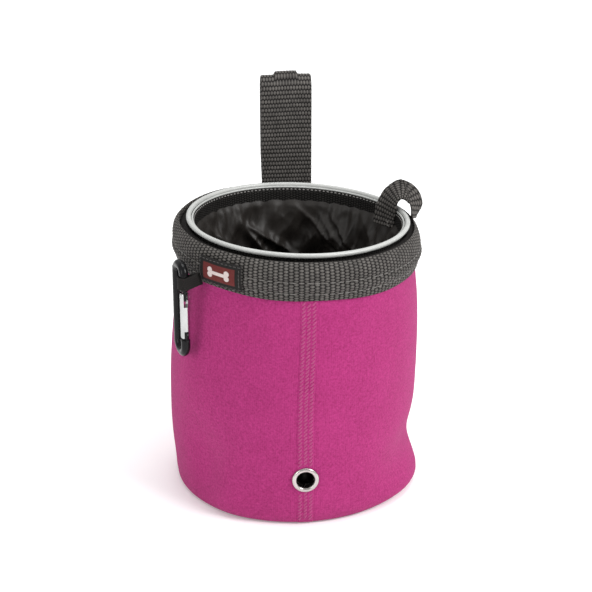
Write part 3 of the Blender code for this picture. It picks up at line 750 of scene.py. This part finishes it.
def lining_place(u, v):
    """A point of the bag: gathered at its hem, in loose slanted folds below."""
    radius = np.interp(v, lining_share, lining_r)
    z = np.interp(v, lining_share, lining_z)
    loose = np.clip((v - 0.010) / 0.10, 0, 1) * np.clip((radius - 0.004) / 0.02, 0, 1)
    gather = np.clip((v - 0.004) / 0.02, 0, 1) * np.exp(-v / 0.13)
    long_folds = crease(u, z, twist=19.0, wide=2.3, tall=9.0, seed=3.0) ** 3
    cross_folds = crease(u, z, twist=-26.0, wide=3.0, tall=14.0, seed=11.0) ** 4
    creases = crease(u, z, twist=9.0, wide=7.5, tall=75.0, seed=27.0) ** 6
    pleats = np.sin(43 * u + 2.6 * np.sin(5 * u)) * 0.6 + np.sin(29 * u + 1.1) * 0.4
    inward = loose * (0.0046 * long_folds + 0.0034 * cross_folds + 0.0009 * creases)
    inward = inward + gather * 0.0006 * (pleats + 1)
    rise = loose * np.clip((0.014 - z) / 0.008, 0, 1) * (0.003 * long_folds + 0.002 * cross_folds)
    return ring(u, radius - inward * np.clip(radius / 0.03, 0, 1), z + rise)


lining = cloth("nylon_lining", np.linspace(math.pi, -math.pi, 541), lining_share, lining_place,
               (0.044, lining_length))
weld(lining)
apply(lining, "SOLIDIFY", thickness=NYLON_THICK, offset=1)
settle(lining)
lining.data.materials.append(NYLON)
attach(lining, "pouch")
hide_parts("lining_bag")

# ---- Eyelet ----
# A nickel-plated brass eyelet that drains crumbs and water, pressed through the seam with a
# washer behind.
EYELET_HOLE = 0.0037
EYELET_BARREL = 0.0041
EYELET_DEPTH = 0.0036
NICKEL = metal_finish("nickel", (0.36, 0.33, 0.32), (0.66, 0.62, 0.60), 0.16)
eyelet_profile = [(EYELET_HOLE, -EYELET_DEPTH), (EYELET_BARREL, -EYELET_DEPTH), (EYELET_BARREL, -0.0003),
                  (0.0056, 0.0000), (0.0057, 0.0003), (0.0054, 0.00075), (0.0049, 0.0010),
                  (0.0044, 0.0010), (0.0040, 0.0008), (EYELET_HOLE, 0.0003)]
eyelet = turned("eyelet_ring", eyelet_profile, steps=72, spacing=0.0002)
fresh(eyelet)
eyelet.rotation_euler = (math.pi / 2, 0, 0)
eyelet_face = float(wall_radius(EYELET_HEIGHT) + dents(0.0, EYELET_HEIGHT)) + 0.0001
eyelet.location = (0, -eyelet_face, EYELET_HEIGHT)
bpy.ops.object.transform_apply(location=True, rotation=True, scale=True)
eyelet.data.materials.append(NICKEL)
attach(eyelet, "pouch")
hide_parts("eyelet_front")

# ---- Belt loop ----
# Belt webbing folded into a loop, its two ends sewn together to the back of the collar. The
# weave is seventeen columns of flat dashes, and its fold stands slightly domed in the middle.
STRAP_HALF = 0.0113
STRAP_COLUMN = 2 * STRAP_HALF / 17
STRAP_ROW = 0.00193
STRAP_THICK = 0.0014
STRAP_SIDE = 0.0024
STRAP_LINE = 0.05525
STRAP_APART = 0.00085
STRAP_RAISED = 0.00024


def through(points, spacing):
    """Points of a smooth curve through the given ones, about this far apart."""
    points = [np.array(p, float) for p in points]
    padded = [2 * points[0] - points[1]] + points + [2 * points[-1] - points[-2]]
    dense = []
    for a, b, c, d in zip(padded, padded[1:], padded[2:], padded[3:]):
        for t in np.linspace(0, 1, 24, endpoint=False):
            dense.append(0.5 * (2 * b + (c - a) * t + (2 * a - 5 * b + 4 * c - d) * t**2
                                + (3 * b - a - 3 * c + d) * t**3))
    dense.append(points[-1])
    dense = np.array(dense)
    run = np.concatenate(([0], np.cumsum(np.linalg.norm(np.diff(dense, axis=0), axis=1))))
    at = np.linspace(0, run[-1], max(4, int(run[-1] / spacing)) + 1)
    return np.stack([np.interp(at, run, dense[:, i]) for i in range(3)], axis=1), run[-1]


def band(name, middle, side, half, thick, length, relief, count):
    """A strap with rounded edges along middle, side pointing across it, closed at both ends."""
    rows = len(middle)
    run = np.gradient(middle, axis=0)
    run /= np.linalg.norm(run, axis=1, keepdims=True)
    side = side - run * np.sum(side * run, axis=1, keepdims=True)
    side /= np.linalg.norm(side, axis=1, keepdims=True)
    out = np.cross(run, side)
    flat = half - thick / 2
    face = np.linspace(-flat, flat, count)
    bend = np.linspace(0, math.pi, 7)[1:-1]
    edge = flat + thick / 2 * np.sin(bend)
    xs = np.concatenate((face, edge, face[::-1], -edge))
    ys = np.concatenate((np.ones(count), np.cos(bend), -np.ones(count), -np.cos(bend))) * thick / 2
    xs = np.append(xs, xs[0])
    ys = np.append(ys, ys[0])

    def place(u, v):
        row = np.rint(u * (rows - 1)).astype(int)
        slot = np.rint(v * (len(xs) - 1)).astype(int)
        x = xs[slot]
        y = ys[slot]
        bump = relief(x, u * length) * np.sign(y) * (np.abs(y) > 0.4 * thick)
        closed = np.where((row == 0) | (row == rows - 1), 0.0, 1.0)
        return middle[row] + side[row] * x[:, None] + out[row] * ((y + bump) * closed)[:, None]

    obj = cloth(name, np.linspace(0, 1, rows), np.linspace(0, 1, len(xs)), place)
    mesh = obj.data
    uv = np.empty(2 * len(mesh.loops))
    mesh.uv_layers[0].data.foreach_get("uv", uv)
    uv = uv.reshape(-1, 2)
    slot = np.rint(uv[:, 1] * (len(xs) - 1)).astype(int)
    uv = np.column_stack((xs[slot] + half, uv[:, 0] * length))
    mesh.uv_layers[0].data.foreach_set("uv", uv.ravel())
    weld(obj)
    return obj


STRAP = webbing_finish("belt_webbing_weave", STRAP_COLUMN, STRAP_ROW, (0.004, 0.0037, 0.0034),
                       (0.150, 0.138, 0.128), rows_first=True)
# How far the strap stands behind its foot's middle, and how high, up its front and down its back.
strap_front = [(-STRAP_APART, z) for z in (0.1033, 0.110, 0.117, 0.126, 0.136, 0.146, 0.156)]
strap_fold = [(-0.0001, 0.1615), (0.0022, 0.1643), (0.0052, 0.1640), (0.0076, 0.1605)]
strap_back = [(0.0081, 0.152), (0.0079, 0.141), (0.0064, 0.129), (0.0020, 0.1200)]
strap_back += [(STRAP_APART, z) for z in (0.117, 0.110, 0.1033)]
strap_path = [(STRAP_SIDE, STRAP_LINE + y, z) for y, z in strap_front + strap_fold + strap_back]
strap_middle, strap_length = through(strap_path, 0.0005)
strap_side = np.tile(np.array([1.0, 0.0, 0.0]), (len(strap_middle), 1))


def strap_relief(x, along):
    """The belt webbing's woven rows of dashes."""
    return STRAP_RAISED * woven(along, x + STRAP_HALF, STRAP_ROW, STRAP_COLUMN)


belt = band("belt_loop_strap", strap_middle, strap_side, STRAP_HALF, STRAP_THICK, strap_length,
            strap_relief, count=69)
co = np.empty(3 * len(belt.data.vertices))
belt.data.vertices.foreach_get("co", co)
co = co.reshape(-1, 3)
# The middle of the fold stands up, and the free part waves a little from side to side.
crown = np.clip((co[:, 2] - 0.1625) / 0.002, 0, 1)
co[:, 2] += crown * 0.0015 * np.clip(5.6 - np.abs(co[:, 0] - STRAP_SIDE) / 0.0010, 0, 1)
co[:, 1] += 0.0005 * np.sin(co[:, 0] * 210) * np.clip((co[:, 2] - 0.125) / 0.02, 0, 1)
belt.data.vertices.foreach_set("co", co.ravel())
belt.data.update()
belt.data.materials.append(STRAP)
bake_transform(belt)
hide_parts("belt_loop", "belt_loop_anchor")
places = [((STRAP_SIDE + x, STRAP_LINE + 0.00185, height), (1, 0, 0.25), (0, 1, 0))
          for height in (0.1075, 0.1125) for x in np.linspace(-0.0095, 0.0095, 9)]
belt_tack = stitches("belt_loop_tack_yarn", places, length=0.0023, thick=0.00028, material=GREY_YARN)
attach(belt_tack, "pouch")
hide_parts("belt_loop_tack")

# ---- Pull loop ----
# A short loop of narrow webbing for pulling the pouch open. Its inner end is folded under and
# tacked to the facing, and it crosses the rim on the slant to the outside of the collar.
PULL_HALF = 0.0055
PULL_THICK = 0.0012
PULL_RAISED = 0.0002
PULL_FOOT = 109
TACK_RADIUS = 0.0397
# Degrees to the right of the front, radius and height, from the tack up and over the rim.
pull_points = [(PULL_FOOT, TACK_RADIUS, 0.1105), (PULL_FOOT, TACK_RADIUS, 0.1150), (108.5, 0.0402, 0.1190),
               (108, 0.0415, 0.1233), (106.5, 0.0440, 0.1266), (104.5, 0.0468, 0.1276), (102, 0.0496, 0.1266),
               (99.5, 0.0514, 0.1238), (97.5, 0.0517, 0.1205), (96.5, 0.0508, 0.1165)]
pull_path = [ring(np.array(math.radians(turn)), radius, z) for turn, radius, z in pull_points]
pull_middle, pull_length = through(pull_path, 0.0004)
pull_share = np.linspace(0, 1, len(pull_middle))
pull_turn = np.radians(np.interp(pull_share, (0, 0.22, 0.36, 0.52, 0.75, 1), (132, 126, 104, 64, 46, 66)))
pull_tilt = np.interp(pull_share, (0, 0.25, 0.45, 0.7, 1), (0, 0.2, 0.7, 0.6, 0.0))
pull_side = np.stack((np.cos(pull_turn), np.sin(pull_turn), pull_tilt), axis=1)


def pull_relief(x, along):
    """The same webbing, narrower and flatter."""
    return PULL_RAISED * woven(along, x + PULL_HALF, STRAP_ROW, STRAP_COLUMN)


pull = band("pull_loop_strap", pull_middle, pull_side, PULL_HALF, PULL_THICK, pull_length,
            pull_relief, count=33)
settle(pull)
pull.data.materials.append(STRAP)
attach(pull, "pouch")
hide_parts("pull_loop")
places = []
for i, slide in enumerate(np.linspace(-0.004, 0.004, 7)):
    turn = math.radians(PULL_FOOT) + slide / 0.0405
    middle = ring(np.array(turn), TACK_RADIUS, 0.1118 + 0.0012 * (i % 2)).tolist()
    places.append((middle, (math.cos(turn), math.sin(turn), 0.4), way_in(turn)))
pull_tack = stitches("pull_loop_tack_yarn", places, length=0.0017, thick=0.00025, material=GREY_YARN)
settle(pull_tack)
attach(pull_tack, "pouch")
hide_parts("pull_loop_tack")

# ---- Woven label ----
# A satin woven label on the collar: black ground, a small red field and a plain bone shape in
# light threads, sewn down round its edge.
LABEL_START = math.radians(30.0)
LABEL_END = math.radians(52.5)
LABEL_RADIUS = 0.0526
LABEL_WIDTH = (LABEL_END - LABEL_START) * LABEL_RADIUS
LABEL_HEIGHT = 0.0112
LABEL_LOW = COLLAR_BOTTOM + 0.0022
LABEL_MIDDLE = -(LABEL_START + LABEL_END) / 2
LABEL_LIFT = 0.00175
LABEL_THICK = 0.0005
LABEL_COLUMNS, LABEL_ROWS = 150, 84
FIELD_HALF = (0.0078, 0.0036)
FIELD_EDGE = 0.0002
BONE_REACH = 0.0041
BONE_KNOB = 0.0012


def bone(x, y):
    """1 inside a plain bone shape centred on the label."""
    x = np.abs(x)
    y = np.abs(y)
    knob = np.hypot(x - BONE_REACH, y - 0.0010) < BONE_KNOB
    return (knob | ((x < BONE_REACH) & (y < 0.0007))).astype(float)


def field(x, y):
    """1 inside the red field, falling off over its edge."""
    wide = np.clip((FIELD_HALF[0] - np.abs(x)) / FIELD_EDGE, 0, 1)
    return wide * np.clip((FIELD_HALF[1] - np.abs(y)) / FIELD_EDGE, 0, 1)


def label_seat(z):
    """The radius that the label lies at, a little straighter than the collar under it."""
    return collar_radius(np.clip(z, 0.1035, 0.1125)) * 0.4 + collar_radius(z) * 0.6


def label_place(u, v):
    """A point of the label, with its field and bone raised by their threads."""
    x = (u - 0.5) * LABEL_WIDTH
    y = (v - 0.5) * LABEL_HEIGHT
    z = LABEL_LOW + v * LABEL_HEIGHT
    round_off = 0.0005 * (np.abs(2 * u - 1) ** 24 + np.abs(2 * v - 1) ** 16)
    lift = LABEL_LIFT + 0.00012 * bone(x, y) + 0.00004 * field(x, y) - round_off
    lift = lift + 0.0001 * np.sin(x * 500 + y * 300)
    return ring(LABEL_MIDDLE + x / LABEL_RADIUS, label_seat(z) + lift, z)


label_across = np.linspace(-0.5, 0.5, LABEL_COLUMNS + 1)
label_up = np.linspace(-0.5, 0.5, LABEL_ROWS + 1)
label = cloth("woven_label", label_across + 0.5, label_up + 0.5, label_place, (LABEL_WIDTH, LABEL_HEIGHT))
label_x = np.tile(label_across, LABEL_ROWS + 1) * LABEL_WIDTH
label_y = np.repeat(label_up, LABEL_COLUMNS + 1) * LABEL_HEIGHT
for key, values in (("field", field(label_x, label_y)), ("bone", bone(label_x, label_y))):
    label.data.attributes.new(key, "FLOAT", "POINT").data.foreach_set("value", values)
apply(label, "SOLIDIFY", thickness=LABEL_THICK, offset=-1)
settle(label)


def label_finish():
    """Satin threads: black round a red field, and a light bone."""
    finish = Finish("satin_label", Specular_IOR_Level=0.18)
    in_field = finish.node("Attribute", {"attribute_name": "field"}, {}, "Fac")
    in_bone = finish.node("Attribute", {"attribute_name": "bone"}, {}, "Fac")
    thread = finish.ovals(0.00042, 0.00034)
    fade = finish.cloud(500.0, 3.0, 0.6)
    # Each colour is painted lighter on the threads' crowns and darker between them, as shade.
    ground = finish.blend(thread, (0.003, 0.0027, 0.0026), (0.016, 0.0145, 0.0135))
    red = finish.blend(thread, (0.060, 0.009, 0.009), (0.17, 0.030, 0.028))
    light = finish.blend(thread, (0.42, 0.34, 0.33), (0.80, 0.70, 0.68))
    colour = finish.blend(in_bone, finish.blend(in_field, ground, red), light)
    return finish.paint(colour, 0.48 + fade * 0.25, thread, 0.0001)


label.data.materials.append(label_finish())
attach(label, "pouch")
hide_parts("label_patch", "label_field", "label_emblem")
places = []
STITCH_INSET = 0.0008
edge_x = LABEL_WIDTH / 2 - STITCH_INSET
edge_y = LABEL_HEIGHT / 2 - STITCH_INSET
spots = [(x, s * edge_y, (1, 0)) for s in (-1, 1) for x in np.linspace(-edge_x, edge_x, 11)]
spots += [(s * edge_x, y, (0, 1)) for s in (-1, 1) for y in np.linspace(-edge_y, edge_y, 7)[1:-1]]
for x, y, way in spots:
    angle = LABEL_MIDDLE + x / LABEL_RADIUS
    z = LABEL_LOW + LABEL_HEIGHT / 2 + y
    middle = ring(np.array(angle), float(label_seat(z)) + 0.0018, z).tolist()
    run = (math.cos(angle) * way[0], math.sin(angle) * way[0], way[1])
    places.append((middle, run, way_out(angle)))
DARK_YARN = yarn_finish("dark_yarn", (0.012, 0.011, 0.010), (0.07, 0.066, 0.062))
label_yarn = stitches("label_yarn", places, length=0.0014, thick=0.00018, material=DARK_YARN)
settle(label_yarn)
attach(label_yarn, "pouch")
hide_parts("label_stitching")

# ---- Ribbon tab ----
# A black ribbon caught under the left end of the label and folded round the carabiner.
CLIP_WIRE = 0.0019
BAR_RADIUS = 0.0585
BAR_U = 0.0050
TAB_THICK = 0.0007
TAB_ANGLE = math.radians(-51.0)
TAB_REACH = 0.00306
CLIP_TURN = math.radians(20.5)
CLIP_ANGLE = math.radians(51.5) + TAB_REACH / BAR_RADIUS + CLIP_TURN
ALONG = np.array([math.cos(CLIP_ANGLE), -math.sin(CLIP_ANGLE), 0.0])
OUTWARD = np.array([-math.sin(CLIP_ANGLE), -math.cos(CLIP_ANGLE), 0.0])
UP = np.array([0.0, 0.0, 1.0])


def clip_point(u, z, out=0.0):
    """A point in the carabiner's upright plane: u forward along the wall, out away from it."""
    middle = (OUTWARD * math.cos(CLIP_TURN) + ALONG * math.sin(CLIP_TURN)) * BAR_RADIUS
    return middle + OUTWARD * out + ALONG * (u - BAR_U) + UP * z


TAB_LOW, TAB_HIGH = 0.1022, 0.1076
TAB_Z = (TAB_LOW + TAB_HIGH) / 2
bar = clip_point(BAR_U, 0)
bar_out = bar / np.linalg.norm(bar)
bar_back = np.array([bar_out[1], -bar_out[0], 0.0])
bar_back *= -np.sign(bar_back @ ALONG)
tab_ends = settled(np.array([ring(np.array(TAB_ANGLE), radius, TAB_Z) for radius in (0.0552, 0.0543)]))
tab_path = [tab_ends[0]]
around = CLIP_WIRE + 0.0002 + TAB_THICK / 2
for angle in np.radians(np.linspace(-75, 180, 12)):
    tab_path.append(bar + around * (bar_out * math.cos(angle) + bar_back * math.sin(angle)) + UP * TAB_Z)
tab_path.append(tab_ends[1])
tab_middle, tab_length = through(tab_path, 0.0003)
tab_side = np.tile(UP, (len(tab_middle), 1))


def tab_relief(x, along):
    """The ribbon's fine flat weave."""
    return 0.00005 * woven(x, along, 0.0007, 0.0006)


tab = band("ribbon_tab", tab_middle, tab_side, (TAB_HIGH - TAB_LOW) / 2, TAB_THICK * 0.8, tab_length,
           tab_relief, count=15)
tab.data.materials.append(TAPE)
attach(tab, "pouch")
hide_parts("carabiner_tab")

# ---- Carabiner ----
# A small wire carabiner lacquered black, with a bright sprung gate between its stem and nose.
TOP_LINE = 0.1127 - CLIP_WIRE
LOW_LINE = 0.0707 + CLIP_WIRE
NOSE_Z = LOW_LINE + 0.0071
GATE_LOW = NOSE_Z + 0.0006
GATE_TOP = GATE_LOW + 0.020
STEM_Z = GATE_TOP + 0.0011
FRONT_CORNER, BACK_CORNER = 0.00345, 0.00442


def lacquer_finish():
    """Gloss black lacquer with tiny chips."""
    finish = Finish("black_lacquer", Specular_IOR_Level=0.12, Coat_Weight=0.10, Coat_Roughness=0.04)
    chip = finish.cloud(700.0, 5.0, 0.7)
    film = finish.cloud(160.0, 3.0, 0.5)
    colour = finish.blend(chip, (0.002, 0.002, 0.0022), (0.008, 0.008, 0.009))
    return finish.paint(colour, 0.14 + film * 0.16, chip, 0.00001)


def corner_arc(centre, radius, start, end):
    """A corner of the wire in the carabiner's plane, from one angle in degrees to another."""
    return [(centre[0] + radius * math.cos(math.radians(a)), centre[1] + radius * math.sin(math.radians(a)))
            for a in np.linspace(start, end, 7)]


def rod(name, points, radii, steps=28):
    """A round bar of changing radius along points, with closed ends."""
    points = np.array(points)
    run = np.gradient(points, axis=0)
    run /= np.linalg.norm(run, axis=1, keepdims=True)
    side = np.tile(OUTWARD, (len(points), 1))
    up = np.cross(run, side)
    radii = np.array(radii)
    radii[0] = radii[-1] = 0.0

    def place(u, v):
        row = np.rint(u * (len(points) - 1)).astype(int)
        turn = v * math.tau
        offset = side[row] * np.cos(turn)[:, None] + up[row] * np.sin(turn)[:, None]
        return points[row] + offset * radii[row][:, None]

    obj = cloth(name, np.linspace(0, 1, len(points)), np.linspace(0, 1, steps + 1), place)
    weld(obj)
    return obj


clip_path = [(BAR_U, STEM_Z), (BAR_U, STEM_Z + 0.003), (BAR_U, TOP_LINE - 0.0037)]
clip_path += corner_arc((BAR_U - FRONT_CORNER, TOP_LINE - FRONT_CORNER), FRONT_CORNER, 0, 90)
clip_path += corner_arc((-BAR_U + BACK_CORNER, TOP_LINE - BACK_CORNER), BACK_CORNER, 90, 180)
clip_path += corner_arc((-BAR_U + BACK_CORNER, LOW_LINE + BACK_CORNER), BACK_CORNER, 180, 270)
clip_path += corner_arc((BAR_U - BACK_CORNER, LOW_LINE + BACK_CORNER), BACK_CORNER, 270, 360)
clip_path += [(BAR_U, NOSE_Z)]
clip_middle, clip_length = through([clip_point(u, z) for u, z in clip_path], 0.0005)
ends = [clip_middle[0]] + list(clip_middle) + [clip_middle[-1]]
shares = np.linspace(0, 1, len(ends)) * clip_length
radii = CLIP_WIRE * (1 - 0.25 * hump(shares, 0, 0.0004) - 0.3 * hump(shares, clip_length, 0.0004))
ends[0] = ends[0] + (ends[1] - ends[2]) * 0.05
ends[-1] = ends[-1] + (ends[-2] - ends[-3]) * 0.05
LACQUER = lacquer_finish()
clip = rod("carabiner_frame", ends, radii)
clip.data.materials.append(LACQUER)
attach(clip, "carabiner")
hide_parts("carabiner_body")

# ---- Carabiner gate ----
# A turned bright bar, slotted at its top for the hinge tongue and at its foot for the nose. Both
# tongues are part of the lacquered frame.
BRIGHT = metal_finish("bright_metal", (0.32, 0.325, 0.325), (0.64, 0.645, 0.64), 0.14, 1400.0)
gate_heights = [GATE_LOW, GATE_LOW, GATE_LOW + 0.0003, GATE_LOW + 0.0007]
gate_heights += list(np.linspace(GATE_LOW + 0.0015, GATE_TOP - 0.0015, 20))
gate_heights += [GATE_TOP - 0.0007, GATE_TOP - 0.0003, GATE_TOP, GATE_TOP]
# The bar's closed ends need two points each, so every point is a hair above the last.
gate_radii = [0.0, 0.0015, 0.0018, CLIP_WIRE] + [CLIP_WIRE] * 20 + [CLIP_WIRE, 0.0018, 0.0015, 0.0]
gate_points = [clip_point(BAR_U, z + 0.000001 * i) for i, z in enumerate(gate_heights)]
gate = rod("carabiner_gate_bar", gate_points, gate_radii, steps=40)


def gate_block(low, high, thick, deep):
    """A flat upright block on the gate's line, across the carabiner's plane by thick."""
    fresh()
    middle = clip_point(BAR_U, (low + high) / 2).tolist()
    bpy.ops.mesh.primitive_cube_add(size=1, location=middle, rotation=(0, 0, math.pi / 2 - CLIP_ANGLE),
                                    scale=(thick, deep, high - low))
    return bpy.context.object


for low, high in ((GATE_TOP - 0.0058, GATE_TOP + 0.001), (GATE_LOW - 0.001, GATE_LOW + 0.0034)):
    cutter = gate_block(low, high, thick=0.0018, deep=0.012)
    apply(gate, "BOOLEAN", object=cutter, operation="DIFFERENCE", solver="EXACT")
    bpy.data.objects.remove(cutter, do_unlink=True)
gate.data.materials.clear()
gate.data.materials.append(BRIGHT)
gate.data.set_sharp_from_angle(angle=math.radians(40))
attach(gate, "gate")
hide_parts("carabiner_gate")
for name, low, high in (("hinge_tongue", GATE_TOP - 0.0034, STEM_Z + 0.0008),
                        ("nose_tongue", NOSE_Z - 0.0008, GATE_LOW + 0.0029)):
    tongue = gate_block(low, high, thick=0.0012, deep=0.0026)
    tongue.name = tongue.data.name = name
    bpy.ops.object.transform_apply(location=True, rotation=True, scale=True)
    apply(tongue, "BEVEL", width=0.0002, segments=2)
    tongue.data.materials.append(LACQUER)
    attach(tongue, "carabiner")

# ---- Small hard parts kept from the frame ----
# The steel rivet, nose pin and spring and the nickel-plated eyelet washer are plain turned or
# coiled parts, pressed in place, so they keep their frame shapes under real metal.
for node, material in (("gate_rivet", STEEL), ("gate_nose_pin", STEEL), ("gate_spring", STEEL),
                       ("eyelet_washer", NICKEL)):
    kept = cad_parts[node]
    for slot in kept.material_slots:
        slot.link = "OBJECT"
        slot.material = material

# ---- Studio ----
# A white floor under soft light from all round, a little stronger from the front right.
fresh()
bpy.ops.mesh.primitive_plane_add(size=12, location=(0, 0, 0))
floor = bpy.context.object
floor.name = "studio_floor"
floor_finish = Finish("floor_white", Roughness=0.9, Specular_IOR_Level=0.0, Emission_Color=(1, 1, 1, 1),
                      Emission_Strength=0.12)
floor_grain = floor_finish.cloud(3.0, 2.0, 0.5)
floor_colour = floor_finish.blend(floor_grain, (0.93, 0.93, 0.93), (0.95, 0.95, 0.95))
floor.data.materials.append(floor_finish.paint(floor_colour))


def lamp(name, place, target, size, power):
    """A square soft light at place, turned to its target."""
    fresh()
    bpy.ops.object.light_add(type="AREA", location=place)
    light = bpy.context.object
    light.name = name
    light.data.shape = "SQUARE"
    light.data.size = size
    light.data.energy = power
    way = Vector(target) - Vector(place)
    light.rotation_euler = way.to_track_quat("-Z", "Y").to_euler()


POUCH_MIDDLE = (0, 0, 0.06)
lamp("key", (1.1, -0.7, 1.1), POUCH_MIDDLE, size=0.7, power=20.0)
lamp("fill", (-1.2, -0.9, 0.7), POUCH_MIDDLE, size=0.8, power=6.5)
lamp("top", (0.1, 0.3, 1.6), POUCH_MIDDLE, size=0.9, power=12.0)
world = bpy.data.worlds.new("studio")
bpy.context.scene.world = world
world.use_nodes = True
sky = world.node_tree.nodes["Background"]
sky.inputs["Color"].default_value = (1, 1, 1, 1)
sky.inputs["Strength"].default_value = 0.62
bpy.context.scene.view_settings.view_transform = "Standard"

fresh()
bpy.ops.object.camera_add(location=(-0.0631, -0.657, 0.3586),
                          rotation=(math.radians(67.33), 0, math.radians(-5.6)))
camera = bpy.context.object
camera.data.lens = 100.7
camera.data.sensor_width = 36
camera.data.clip_end = 30
bpy.context.scene.camera = camera
